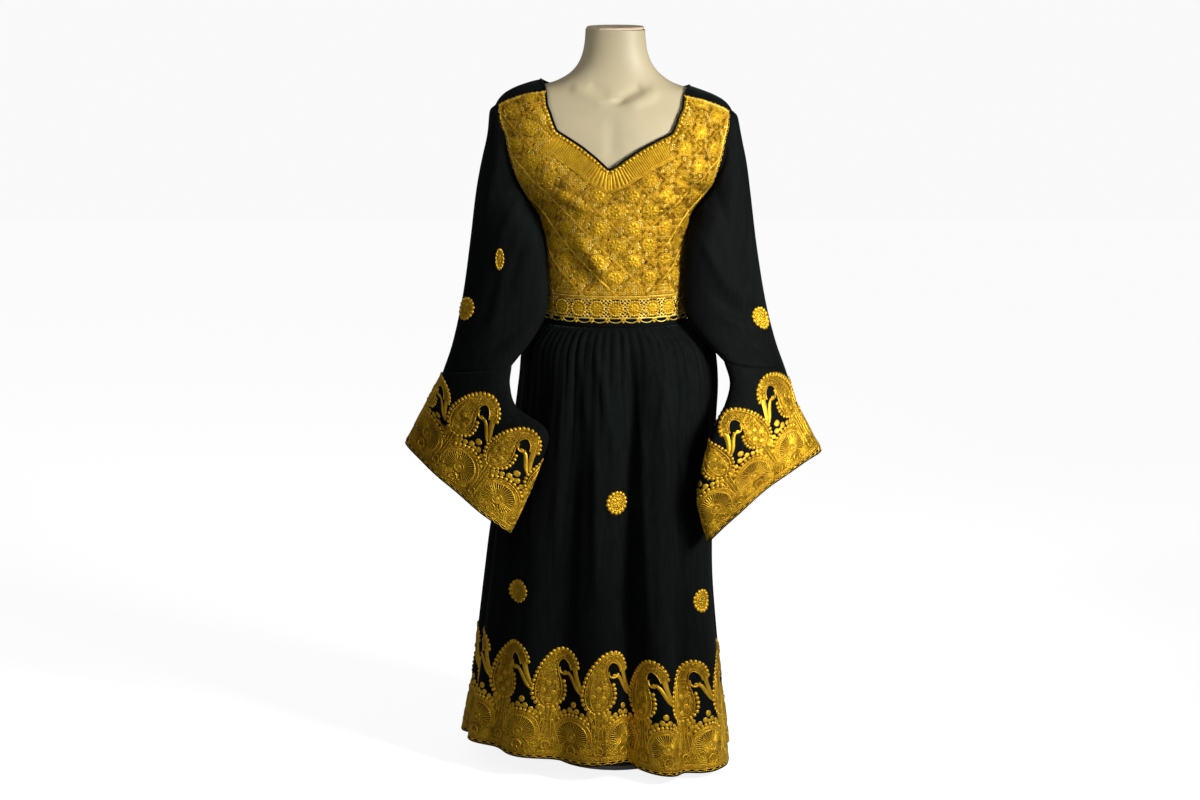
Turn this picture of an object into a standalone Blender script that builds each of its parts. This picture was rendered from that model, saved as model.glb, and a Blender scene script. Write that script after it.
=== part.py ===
"""Afghan velvet dress with gold embroidery, worn by a limbless dress form on a round stand.

Metres, +Z up. The origin is on the floor under the form's pole. The dress faces -Y, and
+X is the viewer's right. "Turn" is an angle round the body, in degrees: 0 is the centre
front, +90 the side at +X, -90 the side at -X, and 180 the centre back.
"""

import math
from collections import namedtuple

import bmesh
import bpy
import numpy as np
from mathutils import Vector

# Cloth and seams
VELVET_WALL = 0.0016
EMBROIDERED_WALL = 0.0026
SEAM_GAP = 0.0004
BORDER_RAISE = 0.0010

# Heights on the dress
WAIST = 0.8340
WAISTBAND_FOOT = 0.8180
SKIRT_TOP = WAISTBAND_FOOT
HEM = 0.0370
HEM_FALL = 0.0240
HEM_FALL_WIDTH = 0.160
BORDER_TOP = 0.1500

# Dress form and stand
FORM_FOOT = 0.6080
NECK_TOP = 1.3440
NECK_CAP_THICKNESS = 0.004
NECK_CAP_BEVEL = 0.0015
POLE_RADIUS = 0.0125
BASE_RADIUS = 0.115
BASE_THICKNESS = 0.008
BASE_BEVEL = 0.002
REST_GAP = 0.0003

# Horizontal sections are superellipses of this exponent
SQUARENESS = 2.25

# Sections of the form, and how far the cloth stands off it at the side and at the front
Body = namedtuple("Body", "height half_width front back ease_side ease_front")
BODY = (
    Body(0.608, 0.138, 0.090, 0.105, 0.0100, 0.0100),
    Body(0.668, 0.148, 0.097, 0.108, 0.0100, 0.0100),
    Body(0.738, 0.140, 0.096, 0.100, 0.0100, 0.0100),
    Body(0.798, 0.122, 0.090, 0.084, 0.0090, 0.0080),
    Body(0.848, 0.117, 0.090, 0.079, 0.0110, 0.0070),
    Body(0.918, 0.120, 0.100, 0.084, 0.0090, 0.0060),
    Body(0.978, 0.124, 0.111, 0.090, 0.0060, 0.0040),
    Body(1.023, 0.134, 0.114, 0.095, 0.0060, 0.0040),
    Body(1.063, 0.158, 0.110, 0.099, 0.0100, 0.0050),
    Body(1.108, 0.184, 0.103, 0.100, 0.0090, 0.0050),
    Body(1.158, 0.202, 0.092, 0.097, 0.0060, 0.0040),
    Body(1.195, 0.207, 0.079, 0.089, 0.0034, 0.0030),
    Body(1.216, 0.197, 0.068, 0.081, 0.0030, 0.0024),
    Body(1.230, 0.176, 0.061, 0.074, 0.0022, 0.0020),
    Body(1.241, 0.145, 0.057, 0.070, 0.0015, 0.0015),
    Body(1.248, 0.118, 0.054, 0.067, 0.0015, 0.0015),
    Body(1.255, 0.100, 0.052, 0.065, 0.0015, 0.0015),
    Body(1.266, 0.083, 0.050, 0.062, 0.0015, 0.0015),
    Body(1.284, 0.062, 0.049, 0.058, 0.0015, 0.0015),
    Body(1.313, 0.053, 0.048, 0.056, 0.0015, 0.0015),
    Body(NECK_TOP, 0.0535, 0.049, 0.056, 0.0015, 0.0015),
)

# The back stands a little further off the form, from the side seam on
BACK_EASE = 0.0013
BACK_EASE_FROM = 75.0
BACK_EASE_OVER = 30.0
# The shoulder at +X hangs a little lower than the other
SHOULDER_DROP = 0.0085
SHOULDER_WIDTH = 0.200
SHOULDER_DROP_FROM = 1.040
SHOULDER_DROP_OVER = 0.120
FORM_COLUMNS = 40
FORM_ROWS = (0, 2, 3, 4, 5.5, 7, 8, 9, 10, 11, 11.5, 12, 12.5, 13, 13.5, 14, 15, 16, 17, 18, 20)

# Edges of the bodice panels, for one half: share is the way up from waist to shoulder seam
Edge = namedtuple("Edge", "share turn height")
ARMPIT_SHARE = 0.5
NECK_POINT_SHARE = 0.625
SHOULDER_TIP = Edge(1.0, 76, 1.2060)
SHOULDER_NECK = Edge(1.0, 42.5, 1.2320)
FRONT_NECKLINE = (
    Edge(0.0, 0, WAIST),
    Edge(NECK_POINT_SHARE, 0, 1.1000),
    Edge(0.7917, 27.0, 1.1680),
    Edge(0.8750, 30.5, 1.1980),
    Edge(0.9583, 36.5, 1.2220),
    SHOULDER_NECK,
)
FRONT_SIDE = (
    Edge(0.0, 90, WAIST),
    Edge(ARMPIT_SHARE, 90, 1.0260),
    Edge(0.5417, 82, 1.0320),
    Edge(0.6250, 75, 1.0600),
    Edge(0.7500, 69, 1.1080),
    Edge(0.8750, 67, 1.1560),
    Edge(0.9583, 71, 1.1920),
    SHOULDER_TIP,
)
BACK_NECKLINE = (
    Edge(0.0, 180, WAIST),
    Edge(0.7500, 180, 1.2220),
    Edge(0.8333, 144, 1.2325),
    Edge(0.8750, 115, 1.2420),
    Edge(0.9167, 90, 1.2450),
    Edge(0.9583, 64, 1.2428),
    Edge(0.9800, 52, 1.2385),
    SHOULDER_NECK,
)
BACK_SIDE = (
    Edge(0.0, 90, WAIST),
    Edge(ARMPIT_SHARE, 90, 1.0260),
    Edge(0.5417, 98, 1.0320),
    Edge(0.6250, 105, 1.0600),
    Edge(0.7500, 112, 1.1080),
    Edge(0.8750, 112, 1.1560),
    Edge(0.9583, 98, 1.1960),
    SHOULDER_TIP,
)
# The neckline's point and the panel's centre line lie a little towards -X
FRONT_LEAN = -2.4
LEAN_WIDTH = 50.0
SIDE_SEAM_ROWS = 7
ARMHOLE_ROWS = 12
# Rows close under the shoulder seam, as parts of an armhole row's step below it
SHOULDER_ROWS = (0.62, 0.30, 0.0)
HALF_COLUMNS = 11
BINDING_WIDTH = 0.0060
BINDING_WALL = 0.0014
BINDING_DROP = 0.0100

# Sections of the skirt; gather and fold are how far its waves stand in and out
SkirtRow = namedtuple("SkirtRow", "height left right front back gather fold")
SKIRT = (
    SkirtRow(SKIRT_TOP, 0.1310, 0.1310, 0.0992, 0.0922, 0.0010, 0.000),
    SkirtRow(0.8040, 0.1370, 0.1380, 0.1080, 0.0970, 0.0028, 0.000),
    SkirtRow(0.7730, 0.1510, 0.1530, 0.1220, 0.1130, 0.0032, 0.003),
    SkirtRow(0.7080, 0.1660, 0.1740, 0.1380, 0.1310, 0.0018, 0.007),
    SkirtRow(0.6280, 0.1820, 0.1780, 0.1470, 0.1440, 0.0006, 0.011),
    SkirtRow(0.5380, 0.2020, 0.1760, 0.1560, 0.1530, 0.0000, 0.015),
    SkirtRow(0.4480, 0.2200, 0.1720, 0.1640, 0.1600, 0.0000, 0.018),
    SkirtRow(0.3580, 0.2310, 0.1710, 0.1710, 0.1660, 0.0000, 0.021),
    SkirtRow(0.2680, 0.2410, 0.1770, 0.1770, 0.1710, 0.0000, 0.023),
    SkirtRow(BORDER_TOP, 0.2540, 0.1880, 0.1840, 0.1760, 0.0000, 0.025),
    SkirtRow(HEM, 0.2740, 0.2010, 0.1920, 0.1820, 0.0000, 0.027),
)
GATHERS = 58
GATHER_UNEVEN = 0.35
BORDER_STEP = 0.0020

# The skirt's long folds at the hem: ridges rise, valleys fall
Fold = namedtuple("Fold", "turn spread rise")
FOLDS = (
    Fold(-176, 9, 0.8),
    Fold(-162, 6, -0.8),
    Fold(-149, 9, 0.9),
    Fold(-135, 6, -0.7),
    Fold(-122, 9, 0.8),
    Fold(-107, 6, -0.9),
    Fold(-93, 8, 0.7),
    Fold(-79, 6, -0.6),
    Fold(-65, 10, 0.7),
    Fold(-50, 7, -0.5),
    Fold(-36, 10, 0.5),
    Fold(-21, 7, -0.4),
    Fold(-7, 9, 0.6),
    Fold(7, 5, -1.0),
    Fold(20, 9, 1.1),
    Fold(34, 5, -0.8),
    Fold(40, 22, 0.9),
    Fold(46, 7, 0.6),
    Fold(57, 5, -0.8),
    Fold(69, 8, 0.9),
    Fold(83, 5, -0.8),
    Fold(98, 8, 0.8),
    Fold(112, 5, -0.7),
    Fold(126, 9, 0.9),
    Fold(141, 6, -0.8),
    Fold(155, 8, 0.8),
    Fold(168, 5, -0.7),
)

# Sleeve rings: outer is the fold away from the body, inner the fold towards it. Depth is how
# far the front and back stand from the middle, lift raises them, relief is the border's share.
Ring = namedtuple("Ring", "outer_x outer_y outer_z inner_x inner_y inner_z depth lift relief")
LEFT_SLEEVE = (
    Ring(-0.2335, -0.006, 1.113, -0.1405, -0.020, 1.008, 0.044, 0, 0),
    Ring(-0.2470, -0.008, 1.051, -0.1300, -0.046, 0.974, 0.045, 0, 0),
    Ring(-0.2605, -0.012, 0.966, -0.1235, -0.056, 0.923, 0.044, 0, 0),
    Ring(-0.2757, -0.018, 0.868, -0.1220, -0.062, 0.850, 0.041, 0, 0),
    Ring(-0.2943, -0.026, 0.782, -0.160, -0.076, 0.800, 0.037, 0, 0),
    Ring(-0.3125, -0.034, 0.728, -0.186, -0.090, 0.748, 0.035, 0, 0),
)
LEFT_BELL = (
    LEFT_SLEEVE[-1],
    Ring(-0.3290, -0.038, 0.698, -0.1885, -0.108, 0.714, 0.037, 0, 0),
    Ring(-0.3490, -0.042, 0.660, -0.1740, -0.134, 0.678, 0.040, 0, 0.5),
    Ring(-0.3670, -0.045, 0.626, -0.1200, -0.160, 0.640, 0.043, 0, 1),
    Ring(-0.3740, -0.048, 0.613, -0.1360, -0.166, 0.578, 0.045, 0, 1),
    Ring(-0.3780, -0.050, 0.607, -0.1610, -0.168, 0.516, 0.046, 0, 1),
    Ring(-0.3805, -0.050, 0.600, -0.1870, -0.168, 0.460, 0.046, 0, 1),
)
RIGHT_SLEEVE = (
    Ring(0.2305, -0.006, 1.109, 0.1405, -0.020, 1.004, 0.044, 0, 0),
    Ring(0.2410, -0.008, 1.047, 0.1300, -0.046, 0.970, 0.045, 0, 0),
    Ring(0.2545, -0.012, 0.958, 0.1235, -0.056, 0.923, 0.044, 0, 0),
    Ring(0.2720, -0.018, 0.858, 0.1220, -0.062, 0.850, 0.041, 0, 0),
    Ring(0.2900, -0.026, 0.786, 0.167, -0.076, 0.803, 0.037, 0, 0),
    Ring(0.3070, -0.034, 0.738, 0.195, -0.090, 0.756, 0.035, 0, 0),
)
RIGHT_BELL = (
    RIGHT_SLEEVE[-1],
    Ring(0.3180, -0.038, 0.706, 0.2050, -0.106, 0.718, 0.037, 0, 0),
    Ring(0.3300, -0.042, 0.670, 0.1930, -0.130, 0.678, 0.040, 0, 0.5),
    Ring(0.3470, -0.045, 0.636, 0.1720, -0.152, 0.640, 0.043, 0.002, 1),
    Ring(0.3600, -0.048, 0.612, 0.1570, -0.162, 0.580, 0.045, 0.006, 1),
    Ring(0.3700, -0.050, 0.597, 0.1470, -0.170, 0.520, 0.046, 0.012, 1),
    Ring(0.3740, -0.050, 0.586, 0.1640, -0.170, 0.444, 0.046, 0.020, 1),
)
BELL_COLUMNS = 48
BELL_RIPPLE = 0.004
BELL_RIPPLES = 7
CAP_LENGTH = 0.007
CAP_SWELL = 0.003
CAP_BLEND = 0.45

BLACK_VELVET = ("black_velvet", (0.010, 0.013, 0.014), 0.75, 0.0)
GOLD_EMBROIDERY = ("gold_embroidery", (0.60, 0.38, 0.05), 0.45, 0.3)
CREAM_SHELL = ("cream_shell", (0.72, 0.66, 0.50), 0.45, 0.0)
BROWN_CAP = ("brown_cap", (0.30, 0.20, 0.11), 0.60, 0.0)
WHITE_METAL = ("white_metal", (0.80, 0.80, 0.78), 0.35, 0.4)


def clear_scene():
    """Removes what the scene starts with."""
    for thing in list(bpy.data.objects):
        bpy.data.objects.remove(thing)


def material(finish):
    """The Principled material of a (name, colour, roughness, metallic) finish."""
    name, colour, roughness, metallic = finish
    found = bpy.data.materials.get(name)
    if found:
        return found
    made = bpy.data.materials.new(name)
    made.use_nodes = True
    shader = made.node_tree.nodes["Principled BSDF"]
    shader.inputs["Base Color"].default_value = (*colour, 1)
    shader.inputs["Roughness"].default_value = roughness
    shader.inputs["Metallic"].default_value = metallic
    return made


def smooth_step(value):
    """0 up to 0, 1 from 1, and a smooth rise between them."""
    t = min(1.0, max(0.0, value))
    return t * t * (3 - 2 * t)


def wrapped(angle):
    """An angle brought to between -180 and 180 degrees."""
    return (angle + 180) % 360 - 180


def through_rows(rows, place):
    """The row at a fractional place in a table, on a smooth curve through its rows."""
    last = len(rows) - 1
    i = min(last - 1, max(0, int(place)))
    t = place - i
    p1, p2 = np.array(rows[i]), np.array(rows[i + 1])
    p0 = np.array(rows[i - 1]) if i > 0 else 2 * p1 - p2
    p3 = np.array(rows[i + 2]) if i + 2 <= last else 2 * p2 - p1
    value = 0.5 * (
        2 * p1 + (p2 - p0) * t + (2 * p0 - 5 * p1 + 4 * p2 - p3) * t**2
        + (3 * p1 - p0 - 3 * p2 + p3) * t**3
    )
    return type(rows[0])(*value)


def place_of(rows, height):
    """The fractional place in a table whose first column is the height."""
    low, high = 0.0, float(len(rows) - 1)
    rising = rows[-1].height > rows[0].height
    for _ in range(40):
        middle = (low + high) / 2
        if (through_rows(rows, middle).height < height) == rising:
            low = middle
        else:
            high = middle
    return (low + high) / 2


def round_section(turn, left, right, front, back):
    """A point of a superellipse with its own half-axis on each of the four sides."""
    s, c = math.sin(math.radians(turn)), math.cos(math.radians(turn))
    power = 2 / SQUARENESS
    x = (right if s > 0 else -left) * abs(s) ** power
    y = (-front if c > 0 else back) * abs(c) ** power
    return x, y


def surface_normal(point_at, turn, place, turn_step=0.6, place_step=0.02):
    """The outward normal of a surface given as point_at(turn, place), place rising upwards."""
    across = point_at(turn + turn_step, place) - point_at(turn - turn_step, place)
    up = point_at(turn, place + place_step) - point_at(turn, place - place_step)
    return across.cross(up).normalized()


def form_point(turn, place):
    """A point of the dress form's surface."""
    row = through_rows(BODY, place)
    x, y = round_section(turn, row.half_width, row.half_width, row.front, row.back)
    drop = SHOULDER_DROP * smooth_step(x / SHOULDER_WIDTH)
    drop *= smooth_step((row.height - SHOULDER_DROP_FROM) / SHOULDER_DROP_OVER)
    return Vector((x, y, row.height - drop))


def cloth_point(turn, place, lift):
    """A point over the form: the cloth's inner face where lift is 0, and lift further out."""
    row = through_rows(BODY, place)
    side = math.sin(math.radians(turn)) ** 2
    ease = row.ease_side * side + row.ease_front * (1 - side)
    ease += BACK_EASE * smooth_step((abs(wrapped(turn)) - BACK_EASE_FROM) / BACK_EASE_OVER)
    return form_point(turn, place) + surface_normal(form_point, turn, place) * (ease + lift)


def edge_at(edges, share):
    """(turn, place on the form) of a panel's edge at a share of the way up."""
    for low, high in zip(edges, edges[1:]):
        if share <= high.share + 1e-9:
            t = (share - low.share) / (high.share - low.share)
            turn = low.turn + (high.turn - low.turn) * t
            height = low.height + (high.height - low.height) * t
            return turn, place_of(BODY, height)
    raise ValueError("share is past the edge's end")


def boundary_edges(faces):
    """The directed edges that only one face has."""
    edges = {(a, b) for face in faces for a, b in zip(face, face[1:] + face[:1])}
    return {(a, b) for a, b in edges if (b, a) not in edges}


def open_seams(points, faces):
    """Draws a panel's edges in by half the seam gap, so that panels meet without touching."""
    rim = boundary_edges(faces)
    after = dict(rim)
    before = {b: a for a, b in rim}
    centre = {}
    for face in faces:
        middle = sum((points[k][0] for k in face), Vector()) / len(face)
        for k in face:
            centre.setdefault(k, []).append(middle)
    moved = {}
    for k in after:
        along = (points[after[k]][0] - points[before[k]][0]).normalized()
        inward = sum(centre[k], Vector()) / len(centre[k]) - points[k][0]
        inward = (inward - along * inward.dot(along)).normalized() * SEAM_GAP / 2
        moved[k] = (points[k][0] + inward, points[k][1] + inward)
    points.update(moved)


def cloth_solid(name, points, faces, finish):
    """One closed solid from a panel: points gives each key its (outer, inner) places."""
    open_seams(points, faces)
    mesh = bpy.data.meshes.new(name)
    shell = bmesh.new()
    outer = {k: shell.verts.new(p[0]) for k, p in points.items()}
    inner = {k: shell.verts.new(p[1]) for k, p in points.items()}
    for face in faces:
        shell.faces.new([outer[k] for k in face])
        shell.faces.new([inner[k] for k in reversed(face)])
    for a, b in boundary_edges(faces):
        shell.faces.new([outer[b], outer[a], inner[a], inner[b]])
    bmesh.ops.recalc_face_normals(shell, faces=shell.faces[:])
    shell.to_mesh(mesh)
    shell.free()
    return add_object(name, mesh, finish)


def add_object(name, mesh, finish):
    """Links a mesh to the scene as a named, smooth object of one finish."""
    mesh.materials.append(material(finish))
    mesh.shade_smooth()
    mesh.set_sharp_from_angle(angle=math.radians(45))
    thing = bpy.data.objects.new(name, mesh)
    bpy.context.scene.collection.objects.link(thing)
    return thing


def row_shares():
    """The shares of the bodice panels' rows, closer along the armhole than along the side."""
    low = [ARMPIT_SHARE * i / SIDE_SEAM_ROWS for i in range(SIDE_SEAM_ROWS)]
    step = (1 - ARMPIT_SHARE) / ARMHOLE_ROWS
    high = [ARMPIT_SHARE + step * i for i in range(ARMHOLE_ROWS)]
    return low + high + [1 - step * rest for rest in SHOULDER_ROWS]


def panel_spot(inner_edge, side_edge, share, across, side):
    """(turn, place) inside one half of a panel; across runs from the centre to the side."""
    turn_in, place_in = edge_at(inner_edge, share)
    turn_out, place_out = edge_at(side_edge, share)
    turn = turn_in + (turn_out - turn_in) * across
    lean = FRONT_LEAN * max(0.0, 1 - turn / LEAN_WIDTH) ** 2
    return side * turn + lean, place_in + (place_out - place_in) * across


def bodice_panel(name, inner_edge, side_edge, split_share, wall, finish, facing):
    """A bodice panel: two halves that share the centre line up to the neckline."""
    points, faces = {}, []
    shares = row_shares()

    def key(side, row, column):
        shared = column == 0 and shares[row] <= split_share + 1e-6
        return (0 if shared else side, row, column)

    for side in (-1, 1):
        for row, share in enumerate(shares):
            for column in range(HALF_COLUMNS + 1):
                spot = panel_spot(inner_edge, side_edge, share, column / HALF_COLUMNS, side)
                points[key(side, row, column)] = (cloth_point(*spot, wall), cloth_point(*spot, 0))
        for row in range(len(shares) - 1):
            for column in range(HALF_COLUMNS):
                face = [
                    key(side, row, column),
                    key(side, row, column + 1),
                    key(side, row + 1, column + 1),
                    key(side, row + 1, column),
                ]
                faces.append(face if side * facing > 0 else face[::-1])
    return cloth_solid(name, points, faces, finish)


def neck_binding():
    """The narrow band that finishes the neckline, laid on the panels' edges."""
    pairs = []
    front = [s for s in row_shares() if s > NECK_POINT_SHARE + 1e-6]
    back = [s for s in row_shares() if s > BACK_NECKLINE[1].share + 1e-6]

    def pair(inner_edge, side_edge, share, side):
        start = panel_spot(inner_edge, side_edge, share, 0, side)
        end = panel_spot(inner_edge, side_edge, share, 1, side)
        length = (cloth_point(*end, 0) - cloth_point(*start, 0)).length
        across = BINDING_WIDTH / length
        return start, panel_spot(inner_edge, side_edge, share, across, side)

    for side in (1, -1):
        rows = [pair(FRONT_NECKLINE, FRONT_SIDE, s, side) for s in front]
        rows += [pair(BACK_NECKLINE, BACK_SIDE, s, side) for s in reversed(back[:-1])]
        pairs.append(rows)
    tip = FRONT_NECKLINE[1].height
    nape = BACK_NECKLINE[1].height
    centre_front = (
        (FRONT_LEAN, place_of(BODY, tip)), (FRONT_LEAN, place_of(BODY, tip - BINDING_DROP)),
    )
    centre_back = ((180, place_of(BODY, nape)), (180, place_of(BODY, nape - BINDING_WIDTH)))
    loop = [centre_front, *pairs[0], centre_back, *reversed(pairs[1])]
    base = EMBROIDERED_WALL + SEAM_GAP
    points, faces = {}, []
    for i, ends in enumerate(loop):
        for j, spot in enumerate(ends):
            points[(i, j)] = (cloth_point(*spot, base + BINDING_WALL), cloth_point(*spot, base))
    for i in range(len(loop)):
        n = (i + 1) % len(loop)
        faces.append([(i, 0), (i, 1), (n, 1), (n, 0)])
    return cloth_solid("neck_binding", points, faces, BLACK_VELVET)


def waistband():
    """The plain band between the bodice and the gathered skirt."""
    points, faces = {}, []
    columns = 4 * HALF_COLUMNS
    for row, height in enumerate((WAISTBAND_FOOT, WAIST)):
        place = place_of(BODY, height)
        for column in range(columns):
            turn = 360 * column / columns
            points[(row, column)] = (
                cloth_point(turn, place, VELVET_WALL), cloth_point(turn, place, 0),
            )
    for column in range(columns):
        n = (column + 1) % columns
        faces.append([(0, column), (0, n), (1, n), (1, column)])
    return cloth_solid("waistband", points, faces, BLACK_VELVET)


def skirt_point(turn, depth_place):
    """A point of the skirt's outer face; depth_place rises upwards, as a negative table place."""
    row = through_rows(SKIRT, -depth_place)
    x, y = round_section(turn, row.left, row.right, row.front, row.back)
    fold = sum(f.rise * math.exp(-((wrapped(turn - f.turn) / f.spread) ** 2)) for f in FOLDS)
    uneven = 1 + GATHER_UNEVEN * math.sin(math.radians(3 * turn))
    gather = row.gather * uneven * math.cos(math.radians(turn * GATHERS))
    out = Vector((x, y, 0)).normalized() * (row.fold * fold + gather)
    fall = HEM_FALL * smooth_step(x / HEM_FALL_WIDTH)
    fall *= smooth_step((SKIRT_TOP - row.height) / (SKIRT_TOP - HEM))
    return Vector((x + out.x, y + out.y, row.height - fall))


def skirt_walls(turn, height, raised):
    """(outer, inner) of the skirt's wall, thicker by the embroidered border where raised."""
    place = -place_of(SKIRT, height)
    outer = skirt_point(turn, place)
    normal = surface_normal(skirt_point, turn, place)
    return outer + normal * (BORDER_RAISE if raised else 0), outer - normal * VELVET_WALL


def skirt_panel(name, first_turn):
    """Half of the skirt, with a column of points on each ridge and valley of its gathers."""
    points, faces = {}, []
    levels = []
    for row in SKIRT:
        levels.append((row.height, row.height < BORDER_TOP))
        if row.height == BORDER_TOP:
            levels.append((BORDER_TOP - BORDER_STEP, True))
    for row, (height, raised) in enumerate(levels):
        for column in range(GATHERS + 1):
            turn = first_turn + 180 * column / GATHERS
            points[(row, column)] = skirt_walls(turn, height, raised)
    for row in range(len(levels) - 1):
        for c in range(GATHERS):
            faces.append([(row + 1, c), (row + 1, c + 1), (row, c + 1), (row, c)])
    return cloth_solid(name, points, faces, BLACK_VELVET)


def ring_point(ring, angle, ripple=0.0):
    """A point of a flattened sleeve ring: angle 0 is the outer fold, 90 the front, 180 the inner fold."""
    outer = Vector((ring.outer_x, ring.outer_y, ring.outer_z))
    inner = Vector((ring.inner_x, ring.inner_y, ring.inner_z))
    c, s = math.cos(math.radians(angle)), math.sin(math.radians(angle))
    depth = ring.depth + ripple * math.sin(math.radians(BELL_RIPPLES * angle)) * abs(s)
    return (outer + inner) / 2 + (outer - inner) / 2 * c + Vector((0, -depth * s, ring.lift * s * s))


def tube_solid(name, rows, normal_sign, finish, given_first=None, raises=None, wall=VELVET_WALL):
    """A closed-round cloth tube from rows of outer points; given_first fixes the first row's inner points."""
    columns = len(rows[0])
    points, faces = {}, []
    for r, row in enumerate(rows):
        for c in range(columns):
            across = row[(c + 1) % columns] - row[c - 1]
            down = rows[min(r + 1, len(rows) - 1)][c] - rows[max(r - 1, 0)][c]
            normal = across.cross(down).normalized() * normal_sign
            lift = BORDER_RAISE * raises[r] if raises else 0
            inner = row[c] - normal * wall
            if r == 0 and given_first:
                inner = given_first[c]
            points[(r, c)] = (row[c] + normal * lift, inner)
    for r in range(len(rows) - 1):
        for c in range(columns):
            n = (c + 1) % columns
            face = [(r, c), (r, n), (r + 1, n), (r + 1, c)]
            faces.append(face if normal_sign > 0 else face[::-1])
    return cloth_solid(name, points, faces, finish)


def armhole_loop(side):
    """The armhole's (turn, place) spots, from the shoulder tip down the front and up the back."""
    shares = [s for s in row_shares() if s >= ARMPIT_SHARE - 1e-6]
    front = [panel_spot(FRONT_NECKLINE, FRONT_SIDE, s, 1, side) for s in reversed(shares)]
    back = [panel_spot(BACK_NECKLINE, BACK_SIDE, s, 1, side) for s in shares]
    return front + back[1:-1]


def sleeve(name, side, rings):
    """The straight upper sleeve, from the armhole seam to the bell's seam."""
    spots = armhole_loop(side)
    columns = len(spots)
    outer = [cloth_point(*spot, VELVET_WALL) for spot in spots]
    inner = [cloth_point(*spot, 0) for spot in spots]
    hole = sum(outer, Vector()) / columns
    cap = []
    for c in range(columns):
        normal = (outer[c] - inner[c]).normalized()
        along = outer[(c + 1) % columns] - outer[c - 1]
        into_hole = normal.cross(along).normalized()
        if into_hole.dot(hole - outer[c]) < 0:
            into_hole = -into_hole
        cap.append(outer[c] + into_hole * CAP_LENGTH + normal * CAP_SWELL)
    angles = [360 * c / columns for c in range(columns)]
    body = [[ring_point(ring, a) for a in angles] for ring in rings]
    blend = [cap[c].lerp(body[0][c], CAP_BLEND) for c in range(columns)]
    return tube_solid(name, [outer, cap, blend, *body], side, BLACK_VELVET, given_first=inner)


def bell(name, side, rings):
    """The flared lower sleeve, wide at the hem, with soft ripples."""
    angles = [360 * c / BELL_COLUMNS for c in range(BELL_COLUMNS)]
    rows = []
    for i, ring in enumerate(rings):
        ripple = BELL_RIPPLE * smooth_step(i / (len(rings) - 1))
        rows.append([ring_point(ring, a, ripple) for a in angles])
    return tube_solid(name, rows, side, BLACK_VELVET, raises=[r.relief for r in rings])


def closed_rings(name, rings, finish):
    """A solid of stacked rings with flat ends."""
    mesh = bpy.data.meshes.new(name)
    solid = bmesh.new()
    loops = [[solid.verts.new(p) for p in ring] for ring in rings]
    columns = len(loops[0])
    for low, high in zip(loops, loops[1:]):
        for c in range(columns):
            n = (c + 1) % columns
            solid.faces.new([low[c], low[n], high[n], high[c]])
    solid.faces.new(loops[0][::-1])
    solid.faces.new(loops[-1])
    bmesh.ops.recalc_face_normals(solid, faces=solid.faces[:])
    solid.to_mesh(mesh)
    solid.free()
    return add_object(name, mesh, finish)


def form_torso():
    """The smooth, limbless torso with its neck."""
    rings = []
    for row in FORM_ROWS:
        rings.append([form_point(360 * c / FORM_COLUMNS, row) for c in range(FORM_COLUMNS)])
    return closed_rings("form_torso", rings, CREAM_SHELL)


def form_neck_cap():
    """The flat cap on the neck."""
    columns = 24
    inset = NECK_CAP_BEVEL
    top = through_rows(BODY, len(BODY) - 1)
    foot = NECK_TOP + REST_GAP
    rings = []
    edge = foot + NECK_CAP_THICKNESS - NECK_CAP_BEVEL
    for height, shrink in ((foot, inset), (edge, inset), (foot + NECK_CAP_THICKNESS, 2 * inset)):
        ring = []
        for c in range(columns):
            x, y = round_section(360 * c / columns, top.half_width - shrink,
                                 top.half_width - shrink, top.front - shrink, top.back - shrink)
            ring.append(Vector((x, y, height)))
        rings.append(ring)
    return closed_rings("form_neck_cap", rings, BROWN_CAP)


def cylinder(name, radius, foot, top, finish, bevel=0.0, sides=32):
    """An upright round bar or disc, with its top edge bevelled if asked."""
    mesh = bpy.data.meshes.new(name)
    solid = bmesh.new()
    bmesh.ops.create_cone(solid, cap_ends=True, segments=sides, radius1=radius, radius2=radius,
                          depth=top - foot)
    bmesh.ops.translate(solid, verts=solid.verts[:], vec=(0, 0, (top + foot) / 2))
    if bevel:
        rim = [e for e in solid.edges if all(v.co.z > top - 1e-6 for v in e.verts)]
        bmesh.ops.bevel(solid, geom=rim, offset=bevel, segments=2, profile=0.5, affect="EDGES")
    solid.to_mesh(mesh)
    solid.free()
    return add_object(name, mesh, finish)


def main():
    clear_scene()
    cylinder("stand_base", BASE_RADIUS, 0, BASE_THICKNESS, WHITE_METAL, bevel=BASE_BEVEL)
    cylinder("stand_pole", POLE_RADIUS, BASE_THICKNESS + REST_GAP, FORM_FOOT - REST_GAP,
             WHITE_METAL, sides=16)
    form_torso()
    form_neck_cap()
    bodice_panel("bodice_front", FRONT_NECKLINE, FRONT_SIDE, NECK_POINT_SHARE,
                 EMBROIDERED_WALL, GOLD_EMBROIDERY, facing=1)
    bodice_panel("bodice_back", BACK_NECKLINE, BACK_SIDE, BACK_NECKLINE[1].share,
                 VELVET_WALL, BLACK_VELVET, facing=-1)
    neck_binding()
    waistband()
    skirt_panel("skirt_front", -90)
    skirt_panel("skirt_back", 90)
    sleeve("sleeve_left", -1, LEFT_SLEEVE)
    sleeve("sleeve_right", 1, RIGHT_SLEEVE)
    bell("sleeve_bell_left", -1, LEFT_BELL)
    bell("sleeve_bell_right", 1, RIGHT_BELL)


main()
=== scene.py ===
"""Looks of a long velvet dress with gold embroidery, worn by a limbless dress form on a stand.

Metres, +Z up. The dress faces -Y and +X is the viewer's right. "Turn" is an angle round the
body in degrees: 0 is the centre front, 90 the side at +X, 180 the centre back.
"""

import logging
import math
from contextlib import contextmanager
from dataclasses import dataclass
from enum import Enum
from typing import Callable, Iterator, Sequence

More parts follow.
